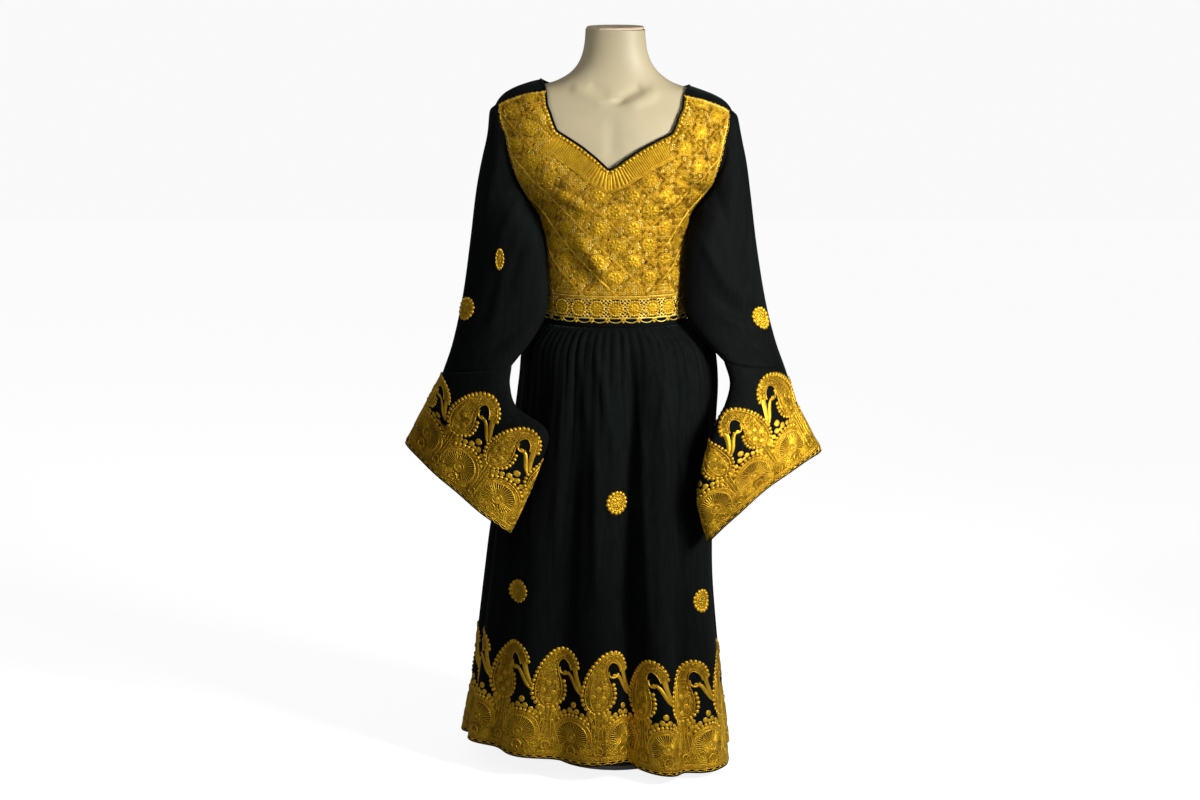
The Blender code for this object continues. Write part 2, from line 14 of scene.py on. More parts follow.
import bpy
import numpy as np
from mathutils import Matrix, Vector
from mathutils.bvhtree import BVHTree


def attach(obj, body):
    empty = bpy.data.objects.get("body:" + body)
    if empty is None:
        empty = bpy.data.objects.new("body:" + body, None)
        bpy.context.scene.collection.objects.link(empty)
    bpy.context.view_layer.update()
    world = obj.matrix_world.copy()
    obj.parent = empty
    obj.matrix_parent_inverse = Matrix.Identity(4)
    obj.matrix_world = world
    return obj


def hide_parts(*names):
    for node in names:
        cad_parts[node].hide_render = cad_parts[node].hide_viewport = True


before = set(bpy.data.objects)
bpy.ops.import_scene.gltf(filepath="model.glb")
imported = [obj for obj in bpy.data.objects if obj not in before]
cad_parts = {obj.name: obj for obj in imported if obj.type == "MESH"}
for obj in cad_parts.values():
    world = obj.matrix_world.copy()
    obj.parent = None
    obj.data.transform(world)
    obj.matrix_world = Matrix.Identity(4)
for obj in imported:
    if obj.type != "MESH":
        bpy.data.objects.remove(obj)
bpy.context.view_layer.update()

LOG = logging.getLogger("dress")
Array = np.ndarray
Surface = Callable[[Array, Array], Array]
Table = Sequence[Sequence[float]]
Place = tuple[float, float, float]
Colour = tuple[float, float, float, float]
Thing = bpy.types.Object
Material = bpy.types.Material
Socket = bpy.types.NodeSocket

BODY = "root"
MM = 0.001
TINY = 1e-12
WELD = 0.00002

# walls and heights, as in the solids
VELVET_WALL = 0.0016
EMBROIDERED_WALL = 0.0026
WAIST = 0.834
WAISTBAND_FOOT = 0.818
HEM = 0.037
HEM_FALL = 0.024
HEM_FALL_WIDTH = 0.16
NECK_TOP = 1.344
SQUARENESS = 2.25


class Side(Enum):
    """The two sleeves, by the viewer's side."""

    LEFT = -1
    RIGHT = 1


SIDES = (-1, 1)


class Finish(Enum):
    """Material slots of the stitchwork meshes."""

    FILL = 0
    CORD = 1
    PALE = 2
    SATIN = 3
    OPEN = 4
    RIBBED = 5


# Smooth curves and sections


def sin(degrees: Array) -> Array:
    """Sines of angles in degrees."""
    return np.sin(np.radians(degrees))


def cos(degrees: Array) -> Array:
    """Cosines of angles in degrees."""
    return np.cos(np.radians(degrees))


def smooth_step(value: Array) -> Array:
    """0 up to 0, 1 from 1, and a smooth rise between them."""
    t = np.clip(value, 0.0, 1.0)
    return t * t * (3 - 2 * t)


def half_turn(degrees: Array) -> Array:
    """Angles brought between -180 and 180."""
    return (degrees + 180) % 360 - 180


def unit(vectors: Array) -> Array:
    """Vectors brought to length 1 along the last axis."""
    return vectors / np.maximum(np.linalg.norm(vectors, axis=-1, keepdims=True), TINY)


def paired(turn: Array, place: Array) -> list[Array]:
    """Turns and places as numbers of one shape."""
    return np.broadcast_arrays(np.asarray(turn, float), np.asarray(place, float))


def arc_lengths(points: Array, axis: int) -> Array:
    """Lengths from the start of each line of a grid, along an axis."""
    steps = np.linalg.norm(np.diff(points, axis=axis), axis=-1)
    start = np.zeros_like(np.take(steps, [0], axis=axis))
    return np.cumsum(np.concatenate([start, steps], axis=axis), axis=axis)


def through(rows: Array, place: Array) -> Array:
    """A smooth curve through rows.

    Args:
        rows: Values, one row a knot, of any shape past the first axis.
        place: Fractional row numbers.

    Returns:
        The values there, shaped as place and then as one row.
    """
    rows, place = np.asarray(rows, float), np.asarray(place, float)
    last = len(rows) - 1
    i = np.clip(place.astype(int), 0, last - 1)
    t = (place - i).reshape(place.shape + (1,) * (rows.ndim - 1))
    p1, p2 = rows[i], rows[i + 1]
    p0 = np.where((i == 0).reshape(t.shape), 2 * p1 - p2, rows[np.maximum(i - 1, 0)])
    p3 = np.where((i == last - 1).reshape(t.shape), 2 * p2 - p1, rows[np.minimum(i + 2, last)])
    return 0.5 * (2 * p1 + (p2 - p0) * t + (2 * p0 - 5 * p1 + 4 * p2 - p3) * t**2
                  + (3 * p1 - p0 - 3 * p2 + p3) * t**3)


def through_round(rows: Array, place: Array) -> Array:
    """As through, on rows that close on themselves."""
    padded = np.concatenate([rows[-2:], rows, rows[:3]])
    return through(padded, np.mod(place, len(rows)) + 2)


class Sections:
    """A table of sizes by height, with a smooth curve through its rows."""

    def __init__(self, rows: Table) -> None:
        """Keeps the rows and the heights between them, rising."""
        self.rows = np.array(rows, float)
        self.places = np.linspace(0, len(rows) - 1, 60 * len(rows))
        self.heights = self.at(self.places)[:, 0]
        if self.heights[-1] < self.heights[0]:
            self.places, self.heights = self.places[::-1], self.heights[::-1]

    def at(self, place: Array) -> Array:
        """The sizes at fractional row numbers."""
        return through(self.rows, place)

    def place_of(self, height: Array) -> Array:
        """The fractional row numbers of heights."""
        return np.interp(height, self.heights, self.places)


def round_section(turn: Array, sizes: Array) -> Array:
    """Points (x, y) of a superellipse whose half axes are sizes: left, right, front and back."""
    left, right, front, back = np.moveaxis(sizes, -1, 0)
    s, c = sin(turn), cos(turn)
    power = 2 / SQUARENESS
    return np.stack([np.where(s > 0, right, -left) * np.abs(s) ** power,
                     np.where(c > 0, -front, back) * np.abs(c) ** power], axis=-1)


def outward(surface: Surface, turn: Array, place: Array) -> Array:
    """The outward normals of a surface whose place rises upwards."""
    across = surface(turn + 0.6, place) - surface(turn - 0.6, place)
    up = surface(turn, place + 0.02) - surface(turn, place - 0.02)
    return unit(np.cross(across, up))


class BodyShape:
    """The dress form's surface, and the cloth that lies over it."""

    # height, half width, front, back, ease at the side, ease at the front
    ROWS = (
        (0.608, 0.138, 0.09, 0.105, 0.01, 0.01), (0.668, 0.148, 0.097, 0.108, 0.01, 0.01),
        (0.738, 0.14, 0.096, 0.1, 0.01, 0.01), (0.798, 0.122, 0.09, 0.084, 0.009, 0.008),
        (0.848, 0.117, 0.09, 0.079, 0.011, 0.007), (0.918, 0.12, 0.1, 0.084, 0.009, 0.006),
        (0.978, 0.124, 0.111, 0.09, 0.006, 0.004), (1.023, 0.134, 0.114, 0.095, 0.006, 0.004),
        (1.063, 0.158, 0.11, 0.099, 0.01, 0.005), (1.108, 0.184, 0.103, 0.1, 0.009, 0.005),
        (1.158, 0.202, 0.092, 0.097, 0.006, 0.004), (1.195, 0.207, 0.079, 0.089, 0.0034, 0.003),
        (1.216, 0.197, 0.068, 0.081, 0.003, 0.0024), (1.23, 0.176, 0.061, 0.074, 0.0022, 0.002),
        (1.241, 0.145, 0.057, 0.07, 0.0015, 0.0015), (1.248, 0.118, 0.054, 0.067, 0.0015, 0.0015),
        (1.255, 0.1, 0.052, 0.065, 0.0015, 0.0015), (1.266, 0.083, 0.05, 0.062, 0.0015, 0.0015),
        (1.284, 0.062, 0.049, 0.058, 0.0015, 0.0015), (1.313, 0.053, 0.048, 0.056, 0.0015, 0.0015),
        (NECK_TOP, 0.0535, 0.049, 0.056, 0.0015, 0.0015),
    )
    SHOULDER_LIFT = 0.006
    BACK_EASE = 0.0013
    BACK_EASE_FROM, BACK_EASE_OVER = 75.0, 30.0
    SHOULDER_DROP = 0.0085
    SHOULDER_WIDTH = 0.2
    DROP_FROM, DROP_OVER = 1.04, 0.12

    def __init__(self) -> None:
        """Reads the sections."""
        self.table = Sections(self.ROWS)
        self.place_of = self.table.place_of

    def skin(self, turn: Array, place: Array) -> Array:
        """Points of the form's surface."""
        turn, place = paired(turn, place)
        row = self.table.at(place)
        xy = round_section(turn, row[..., [1, 1, 2, 3]])
        drop = self.SHOULDER_DROP * smooth_step(xy[..., 0] / self.SHOULDER_WIDTH)
        drop = drop * smooth_step((row[..., 0] - self.DROP_FROM) / self.DROP_OVER)
        return np.concatenate([xy, (row[..., 0] - drop)[..., None]], axis=-1)

    def cloth(self, turn: Array, place: Array, lift: float) -> Array:
        """Points over the form: the cloth's inner face where lift is 0."""
        turn, place = paired(turn, place)
        row = self.table.at(place)
        side = sin(turn) ** 2
        ease = row[..., 4] * side + row[..., 5] * (1 - side)
        away = np.abs(half_turn(turn)) - self.BACK_EASE_FROM
        ease = ease + self.BACK_EASE * smooth_step(away / self.BACK_EASE_OVER)
        skin = self.skin(turn, place)
        left_tip = smooth_step((-skin[..., 0] - 0.08) / 0.07)
        left_tip = left_tip * smooth_step((skin[..., 2] - 1.15) / 0.045)
        ease = ease + self.SHOULDER_LIFT * left_tip
        return skin + outward(self.skin, turn, place) * (ease + lift)[..., None]


FORM = BodyShape()


# Cloth sheets


@dataclass(frozen=True)
class Crease:
    """A soft ridge, or a trough where rise is negative, between two places seen from the front."""

    x0: float
    z0: float
    x1: float
    z1: float
    width: float
    rise: float
    back: bool = False


def creases(front: Table, back: Table = ()) -> tuple[Crease, ...]:
    """Creases from rows of x0, z0, x1, z1, width and rise."""
    return tuple(Crease(*row) for row in front) + tuple(Crease(*row, back=True) for row in back)


def grid_normals(points: Array, closed: bool) -> Array:
    """Outward normals of a grid of points whose columns run to the viewer's right and rows up."""
    if closed:
        across = np.roll(points[:, :-1], -1, axis=1) - np.roll(points[:, :-1], 1, axis=1)
        across = np.concatenate([across, across[:, :1]], axis=1)
    else:
        across = np.gradient(points, axis=1)
    return unit(np.cross(across, np.gradient(points, axis=0)))


def pressed(points: Array, folds: Sequence[Crease], closed: bool,
            normals: Array | None = None) -> Array:
    """A grid of cloth with creases worked into it.

    Args:
        points: The grid, rows by columns by 3.
        folds: The ridges and troughs, on the front or on the back.
        closed: Whether the last column is the first one again.
        normals: The outward normals, measured on the grid where none are given.

    Returns:
        The moved grid.
    """
    flat = points[..., [0, 2]]
    normals = grid_normals(points, closed) if normals is None else normals
    lift = np.zeros(points.shape[:2])
    for fold in folds:
        start = np.array([fold.x0, fold.z0])
        run = np.array([fold.x1, fold.z1]) - start
        length = float(np.linalg.norm(run))
        t = np.clip(((flat - start) @ run) / length**2, 0, 1)
        gap = np.linalg.norm(flat - (start + t[..., None] * run), axis=-1)
        fade = smooth_step(4 * t) * smooth_step(4 * (1 - t)) * 0.8 + 0.2
        facing = np.clip(normals[..., 1] * (2 if fold.back else -2), 0, 1)
        lift += fold.rise * fade * facing * np.exp(-((gap / fold.width) ** 2))
    return points + normals * lift[..., None]


@contextmanager
def editing() -> Iterator[None]:
    """Edit mode on the active object, with all of it selected."""
    bpy.ops.object.mode_set(mode="EDIT")
    bpy.ops.mesh.select_all(action="SELECT")
    yield
    bpy.ops.object.mode_set(mode="OBJECT")


def one_object(parts: Sequence[Thing], name: str) -> Thing:
    """Objects joined into the first one, which is then the only selected and active one."""
    bpy.ops.object.select_all(action="DESELECT")
    for part in parts:
        part.select_set(True)
    bpy.context.view_layer.objects.active = parts[0]
    if len(parts) > 1:
        bpy.ops.object.join()
    parts[0].name = name
    return parts[0]


def grid_object(name: str, points: Array) -> Thing:
    """A grid primitive whose points are set to a sheet's places."""
    rows, columns = points.shape[:2]
    bpy.ops.mesh.primitive_grid_add(x_subdivisions=columns - 1, y_subdivisions=rows - 1, size=1)
    thing = bpy.context.active_object
    thing.name = name
    thing.data.vertices.foreach_set("co", points.reshape(-1).astype(np.float32))
    thing.data.update()
    return thing


def sheet_object(name: str, grids: Sequence[Array], wall: float,
                 materials: Sequence[Material]) -> Thing:
    """One closed cloth shell from one or more grids that share edges.

    Args:
        name: The piece's name.
        grids: The outer faces.
        wall: How thick the cloth is.
        materials: Its finishes, the first on every face.

    Returns:
        The finished piece.
    """
    thing = one_object([grid_object(name, grid) for grid in grids], name)
    with editing():
        bpy.ops.mesh.remove_doubles(threshold=WELD)
    solid = thing.modifiers.new("wall", "SOLIDIFY")
    solid.thickness = wall
    solid.offset = -1
    solid.use_even_offset = False
    bpy.ops.object.modifier_apply(modifier=solid.name)
    for material in materials:
        thing.data.materials.append(material)
    bpy.ops.object.shade_smooth()
    return thing


def rolled(name: str, path: Array, radius: float, material: Material) -> Thing:
    """A round roll of cloth along a path that closes on itself."""
    curve = bpy.data.curves.new(name, "CURVE")
    curve.dimensions = "3D"
    curve.bevel_depth = radius
    curve.bevel_resolution = 2
    line = curve.splines.new("POLY")
    line.points.add(len(path) - 1)
    line.points.foreach_set("co", np.concatenate([path, np.ones((len(path), 1))], 1).reshape(-1))
    line.use_cyclic_u = True
    thing = bpy.data.objects.new(name, curve)
    bpy.context.scene.collection.objects.link(thing)
    one_object([thing], name)
    bpy.ops.object.convert(target="MESH")
    thing = bpy.context.active_object
    thing.data.materials.clear()
    thing.data.materials.append(material)
    bpy.ops.object.shade_smooth()
    return thing


def cross2(a: Array, b: Array) -> Array:
    """The turn from one row of flat vectors to another, as a signed area."""
    return a[:, 0] * b[:, 1] - a[:, 1] * b[:, 0]


class Chart:
    """Flat cloth coordinates (s, t) in metres, laid over worn surfaces."""

    def __init__(self, *panels: tuple[Array, Array, Array]) -> None:
        """Joins panels, each a grid of flat places, of worn places and of outward normals."""
        start, corners = 0, []
        for flat, _, _ in panels:
            rows, columns = flat.shape[:2]
            at = start + np.arange(rows * columns).reshape(rows, columns)
            a, b, c, d = at[:-1, :-1], at[:-1, 1:], at[1:, 1:], at[1:, :-1]
            corners += [np.stack(three, -1).reshape(-1, 3) for three in ((a, b, c), (a, c, d))]
            start += rows * columns
        self.corners = np.concatenate(corners)
        self.flat, self.points, self.normals = (
            np.concatenate([panel[k].reshape(-1, size) for panel in panels])
            for k, size in enumerate((2, 3, 3)))
        raised = np.concatenate([self.flat, np.zeros((len(self.flat), 1))], axis=1)
        self.tree = BVHTree.FromPolygons(raised.tolist(), self.corners.tolist(), all_triangles=True)
        a, b, c = self.points[self.corners.T]
        fa, fb, fc = self.flat[self.corners.T]
        spin = np.sum(np.cross(b - a, c - a) * self.normals[self.corners[:, 0]], axis=1)
        side = cross2(fb - fa, fc - fa)
        self.turned = bool(np.sum(np.sign(spin) * np.sign(side)) < 0)

    def lay(self, verts: Array, reach: float = 0.0) -> tuple[Array, Array]:
        """Lays flat points on the cloth.

        Args:
            verts: Flat points (s, t, height above the cloth).
            reach: How far past the cloth's edge a point may still be drawn in.

        Returns:
            The places in the scene, and which of them lie on the cloth.
        """
        index = np.full(len(verts), -1)
        spots = verts[:, :2].copy()
        down = Vector((0, 0, -1))
        for i, (s, t) in enumerate(verts[:, :2].tolist()):
            face = self.tree.ray_cast(Vector((s, t, 1)), down)[2]
            if face is None and reach > 0:
                near, _, face, _ = self.tree.find_nearest(Vector((s, t, 0)), reach)
                if face is not None:
                    spots[i] = near[:2]
            if face is not None:
                index[i] = face
        tri = self.corners[np.maximum(index, 0)]
        a, b, c = self.flat[tri.T]
        ab, ac, ap = b - a, c - a, spots - a
        area = cross2(ab, ac)
        area = np.where(np.abs(area) < 1e-14, 1e-14, area)
        wb, wc = cross2(ap, ac) / area, cross2(ab, ap) / area
        weights = np.stack([1 - wb - wc, wb, wc], axis=-1)[..., None]
        place = (self.points[tri] * weights).sum(axis=1)
        normal = unit((self.normals[tri] * weights).sum(axis=1))
        return place + normal * verts[:, 2:3], index >= 0


# Flat stitchwork


def mm(*values: float) -> Array:
    """Millimetres, in metres."""
    return np.array(values, float) * MM


@dataclass
class FlatMesh:
    """A raised shape drawn on flat cloth: points (s, t, height), faces of 3 or 4, finishes."""

    verts: Array
    faces: Array
    finish: Array

    def placed(self, s: float, t: float, angle: float = 0.0, scale: float = 1.0,
               rise: float = 0.0) -> "FlatMesh":
        """A copy, scaled, turned by an angle in degrees and moved."""
        x, y, z = (self.verts * scale).T
        c, n = math.cos(math.radians(angle)), math.sin(math.radians(angle))
        turned = np.stack([x * c - y * n, x * n + y * c, z], axis=1)
        return FlatMesh(turned + np.array([s, t, rise]), self.faces, self.finish)

    def stretched(self, s: float, t: float, height: float) -> "FlatMesh":
        """A copy, stretched along each axis."""
        return FlatMesh(self.verts * np.array([s, t, height]), self.faces, self.finish)

    def dyed(self, finish: Finish) -> "FlatMesh":
        """A copy in one finish."""
        return FlatMesh(self.verts, self.faces, np.full(len(self.faces), finish.value))


def joined(parts: Sequence[FlatMesh]) -> FlatMesh:
    """Several flat shapes as one."""
    starts = np.cumsum([0] + [len(part.verts) for part in parts])
    faces = [np.where(part.faces >= 0, part.faces + at, -1) for part, at in zip(parts, starts)]
    return FlatMesh(np.concatenate([part.verts for part in parts]), np.concatenate(faces),
                    np.concatenate([part.finish for part in parts]))


def smooth_path(points: Table, step: float) -> Array:
    """A smooth curve in metres through points in millimetres, with a place about every step."""
    knots = np.array(points, float)
    fine = through(knots, np.linspace(0, len(knots) - 1, 12 * len(knots)))
    length = arc_lengths(fine[:, :2], 0)
    at = np.linspace(0, length[-1], max(2, int(round(length[-1] / step)) + 1))
    return np.stack([np.interp(at, length, values) for values in fine.T], axis=1) * MM


def arc(radius: float, start: float, end: float, step: float) -> Array:
    """Points along an arc in metres, its radius and step in millimetres, angles in degrees."""
    radius, step = radius * MM, step * MM
    count = max(3, int(abs(math.radians(end - start)) * radius / step) + 1)
    angles = np.linspace(start, end, count)
    return radius * np.stack([cos(angles), sin(angles)], 1)


def level(half: float, height: float, count: int = 2) -> Array:
    """A straight line across, from -half to half at a height."""
    return np.stack([np.linspace(-half, half, count), np.full(count, height)], axis=1)


def rightward(path: Array) -> Array:
    """The direction to the right of a flat path, at each of its points."""
    way = unit(np.gradient(path[:, :2], axis=0))
    return np.stack([way[:, 1], -way[:, 0]], axis=1)


def aside(angles: Array) -> Array:
    """The direction to the right of each way, given as angles in degrees."""
    return np.stack([sin(angles), -cos(angles)], axis=1)


def ribbon(path: Array, half: Array | float, heights: Sequence[float], finish: Finish,
           across: Sequence[float] | None = None) -> FlatMesh:
    """A raised strip along a flat path.

    Args:
        path: Points (s, t) in order.
        half: Half the strip's width, one value or one a point.
        heights: Its heights from one edge to the other.
        finish: Its finish.
        across: Where those heights stand, from -1 at the left edge to 1 at the right one.

    Returns:
        The strip, facing up.
    """
    half = np.broadcast_to(np.asarray(half, float), (len(path),))
    places = np.linspace(-1, 1, len(heights)) if across is None else np.array(across)
    flat = path[:, None, :2] + rightward(path)[:, None] * (half[:, None] * places)[..., None]
    lift = np.broadcast_to(np.asarray(heights, float), flat.shape[:2])
    verts = np.concatenate([flat, lift[..., None]], axis=-1).reshape(-1, 3)
    at = np.arange(len(verts)).reshape(flat.shape[:2])
    faces = np.stack([at[:-1, :-1], at[:-1, 1:], at[1:, 1:], at[1:, :-1]], -1).reshape(-1, 4)
    return FlatMesh(verts, faces, np.full(len(faces), finish.value))


def cord(path: Array, radius: float, finish: Finish = Finish.CORD, base: float = 0.0) -> FlatMesh:
    """A round couched cord along a flat path, its radius and its foot's height in millimetres."""
    low = base * MM
    high = low + 1.3 * (radius * MM)
    return ribbon(path, radius * MM, (low, high, high, low), finish, (-1, -0.45, 0.45, 1))


def stations(path: Array, pitch: float) -> tuple[Array, Array]:
    """Evenly spaced places along a path.

    Args:
        path: Points (s, t).
        pitch: The spacing.

    Returns:
        The places, and the path's direction at each in degrees.
    """
    length = arc_lengths(path[:, :2], 0)
    count = max(1, int(round(length[-1] / pitch)))
    at = (np.arange(count) + 0.5) * length[-1] / count
    spots, ahead, behind = (np.stack([np.interp(where, length, path[:, k]) for k in range(2)], axis=1)
                            for where in (at, at + 1e-4, at - 1e-4))
    run = ahead - behind
    return spots, np.degrees(np.arctan2(run[:, 1], run[:, 0]))


def row(shape: FlatMesh, path: Array, pitch: float, size: float, rise: float = 0.0) -> list[FlatMesh]:
    """Copies of a shape along a path, each turned to follow it; pitch and rise in millimetres."""
    return [shape.placed(s, t, angle, size, rise * MM)
            for (s, t), angle in zip(*stations(path, pitch * MM))]


def dots(shape: FlatMesh, rows: Table, rise: float = 0.0) -> list[FlatMesh]:
    """Copies of a shape at rows of s, t and size; s, t and rise in millimetres."""
    return [shape.placed(s * MM, t * MM, 0, size, rise * MM) for s, t, size in rows]


class NeedleBox:
    """The small raised shapes that the embroidery repeats, each modelled once, 1 mm in radius."""

    def __init__(self) -> None:
        """Models every shape."""
        ball, torus = bpy.ops.mesh.primitive_uv_sphere_add, bpy.ops.mesh.primitive_torus_add
        ball(segments=8, ring_count=4, radius=MM)
        self.bead = self._cut(Finish.CORD, (1, 1, 0.62))
        torus(major_segments=7, minor_segments=4, major_radius=MM, minor_radius=0.34 * MM)
        self.loop = self._cut(Finish.CORD)
        self.coil = self._disc(Finish.CORD, 10, ((0.18, 0.22), (0.24, -0.11), (0.22, 0.15),
                                                 (0.16, -0.09)))
        ball(segments=8, ring_count=4, radius=MM)
        self.petal = self._cut(Finish.SATIN, (0.5, 1, 0.36), (0, MM, 0))
        x, y = self.petal.verts[:, 0], self.petal.verts[:, 1]
        x[:] = (x * (0.35 + 0.65 * np.minimum(1.0, y / (1.4 * MM)))).astype(np.float32)
        self.button = self._disc(Finish.SATIN, 12, ((0.12, 0.7), (0.45, 0.3)))

    @staticmethod
    def _taken(finish: Finish) -> FlatMesh:
        """Reads the active object's mesh as a flat shape, and removes the object."""
        thing = bpy.context.active_object
        mesh = thing.data
        verts = np.array([v.co for v in mesh.vertices], float).reshape(-1, 3)
        faces = []
        for ids in (list(face.vertices) for face in mesh.polygons):
            if len(ids) <= 4:
                faces.append(ids + [-1] * (4 - len(ids)))
            else:
                faces += [[ids[0], ids[k], ids[k + 1], -1] for k in range(1, len(ids) - 1)]
        bpy.data.objects.remove(thing)
        bpy.data.meshes.remove(mesh)
        return FlatMesh(verts, np.array(faces), np.full(len(faces), finish.value))

    def _cut(self, finish: Finish, stretch: Place | None = None,
             move: Place | None = None) -> FlatMesh:
        """The active object with what lies under the cloth cut away, stretched and moved."""
        with editing():
            bpy.ops.mesh.bisect(plane_co=(0, 0, 0), plane_no=(0, 0, 1), clear_inner=True)
            bpy.ops.mesh.select_all(action="SELECT")
            if stretch:
                bpy.ops.transform.resize(value=stretch)
            if move:
                bpy.ops.transform.translate(value=move)
        return self._taken(finish)

    def _disc(self, finish: Finish, sides: int, rings: Table) -> FlatMesh:
        """A stepped disc, each of its rings set in and raised by so many millimetres."""
        bpy.ops.mesh.primitive_circle_add(vertices=sides, radius=MM, fill_type="NGON")
        with editing():
            bpy.ops.mesh.select_mode(type="FACE")
            for inset, rise in rings:
                bpy.ops.mesh.inset(thickness=inset * MM, depth=rise * MM)
        return self._taken(finish)


@dataclass(frozen=True)
class Motifs:
    """The embroidery's ornaments, each drawn flat with its foot or centre at the origin."""

    box: NeedleBox

    # the paisley's middle line from its foot to its beak: s, t, half width, in millimetres
    PAISLEY = (
        (0, 0, 7), (-1, 7, 16), (-1.5, 17, 24), (-1, 30, 27.5), (-0.8, 43, 26.5), (-1, 55, 23),
        (-0.5, 66, 19), (2, 78, 14.5), (6.5, 88, 11), (14, 96.5, 9.5), (24.5, 100, 9),
        (36, 95, 9), (43.5, 85, 8.6), (46, 75, 7.5),
    )
    # the two strands of its tail, and the curl under its head
    TAILS = (
        ((47, 79, 6), (50, 67, 5.4), (54.5, 55, 4.8), (60, 44, 3.8), (67, 34, 1.2)),
        ((31, 68, 3), (38, 63.5, 3.8), (44.6, 54.5, 4.1), (51.4, 44, 3.9), (58, 36, 3),
         (66, 31, 1.2)),
    )
    CURL = ((35, 71), (30, 65), (23, 64), (17.5, 68), (16, 76))
    PAD = (-0.4, 0.8, 1.2, 1.4, 1.4, 1.4, 1.2, 0.8, -0.4)
    STALK = ((0, 5, 19), (0, -2, 17.5), (0, -12, 13), (0, -24, 12), (0, -38, 15), (0, -50, 19))
    PETAL_HEIGHT = 0.62
    REPEAT = 0.094
    INNER_BEADS_TO = 0.056

    def filled(self, path: Array, half: Array) -> list[FlatMesh]:
        """Loops in rows across the inside of a ribbon."""
        share, pitch, size, rise = 0.74, 5.8 * MM, 2.05, 0.9 * MM
        right, length = rightward(path), arc_lengths(path[:, :2], 0)
        parts = []
        for k, at in enumerate(np.arange(pitch / 2, length[-1], pitch * 0.9)):
            i = int(np.argmin(np.abs(length - at)))
            count = int(2 * half[i] * share / pitch)
            for offset in (np.arange(count) - (count - 1) / 2) * pitch:
                s, t = path[i, :2] + right[i] * offset
                parts.append(self.box.loop.placed(s, t, 24.0 * k, size, rise))
        return parts

    def paisley(self) -> FlatMesh:
        """A paisley leaning to the right, its head curled over a dark eye into a double tail."""
        path = smooth_path(self.PAISLEY, 3.2)
        line, half, right = path[:, :2], path[:, 2], rightward(path)
        out = right * (half + 1.6 * MM)[:, None]
        edge = np.concatenate([(line + out)[line[:, 1] < self.INNER_BEADS_TO][::-1], line - out])
        parts = [ribbon(path, half, mm(*self.PAD), Finish.FILL), *row(self.box.bead, edge, 8.2, 3.8)]
        for share in (0.84, -0.84):
            parts.append(cord(line + right * (half * share)[:, None], 1.0, base=1.0))
        inner = line[:, 1] < 0.07
        ring, out = line[inner][2:], (right * (half * 0.5)[:, None])[inner][2:]
        parts.append(cord(np.concatenate([(ring + out)[::-1], ring - out]), 0.9, base=1.2))
        parts += self.filled(path, half)
        for tail in self.TAILS:
            strand = smooth_path(tail, 3.0)
            parts.append(ribbon(strand, strand[:, 2], mm(-0.3, 1.2, 1.7, 1.2, -0.3), Finish.CORD))
        parts.append(cord(smooth_path(self.CURL, 3.0), 2.0))
        parts += dots(self.box.coil, ((27.5, 66.5, 4.4),), 0.4)
        parts += dots(self.box.coil, ((-2, 14, 5), (7, 27, 5.4), (-11, 31, 5.4), (-2, 45, 5),
                                      (9, 47, 4.2)), 1.3)
        return joined(parts)

    def fan(self) -> FlatMesh:
        """A fan of radiating stitches with a coiled eye, a looped rim and a trefoil on top."""
        box, rim = self.box, arc(32.2, 205, -25, 3)
        parts = [ribbon(arc(14.6, 222, -42, 3.4), 14 * MM, mm(*[0.85] * 6), Finish.OPEN),
                 *dots(box.coil, ((0, 0, 3.8),), 1), *row(box.loop, arc(5.8, 0, 360, 2), 3.9, 1.45, 1),
                 cord(arc(8.2, 0, 360, 2.4), 0.8, base=1)]
        reach = np.linspace(8.8, 28.2, 5)[:, None] * MM
        for k, angle in enumerate(np.arange(-42, 222.1, 8.8)):
            a = math.radians(angle)
            parts.append(ribbon(reach * np.array([math.cos(a), math.sin(a)]),
                                np.linspace(0.65, 1.15, 5) * MM, mm(0.8, 2.1, 0.8),
                                Finish.SATIN if k % 2 else Finish.CORD))
        parts += [ribbon(rim, 4.2 * MM, mm(-0.4, 0.5, 0.6, 0.5, -0.4), Finish.FILL),
                  cord(arc(28.6, 210, -30, 3), 1.1, base=0.3), *row(box.loop, rim, 5, 2, 0.4),
                  cord(arc(36, 200, -20, 3), 1.2, base=0.2),
                  *row(box.bead, arc(40.4, 140, 40, 3), 7.6, 3.5),
                  *dots(box.coil, ((-7.4, 48.5, 5.2), (7.4, 48.5, 5.2), (0, 59.5, 5.8), (0, 46, 3.6),
                                   (-18, 43.5, 4.4), (18, 43.5, 4.4), (-26, 38, 3.6),
                                   (26, 38, 3.6)))]
        return joined(parts)

    def stalk(self) -> FlatMesh:
        """The flaring stalk under a paisley, from its foot downwards."""
        path = smooth_path(self.STALK, 3.0)
        right = rightward(path)
        parts = [ribbon(path, path[:, 2], mm(-0.4, 0.7, 0.9, 0.7, -0.4), Finish.FILL)]
        for share in (-0.92, -0.45, 0.0, 0.45, 0.92):
            line = path[:, :2] + right * (path[:, 2] * share)[:, None]
            parts.append(cord(line, 0.9, base=0.4))
        for side in SIDES:
            coils = ((17, 2, 4.2), (9.5, -3, 4.6), (13, -10, 3.4), (8, -22, 3.2))
            parts += dots(self.box.coil, [(side * s, t, size) for s, t, size in coils], 0.7)
        return joined(parts)

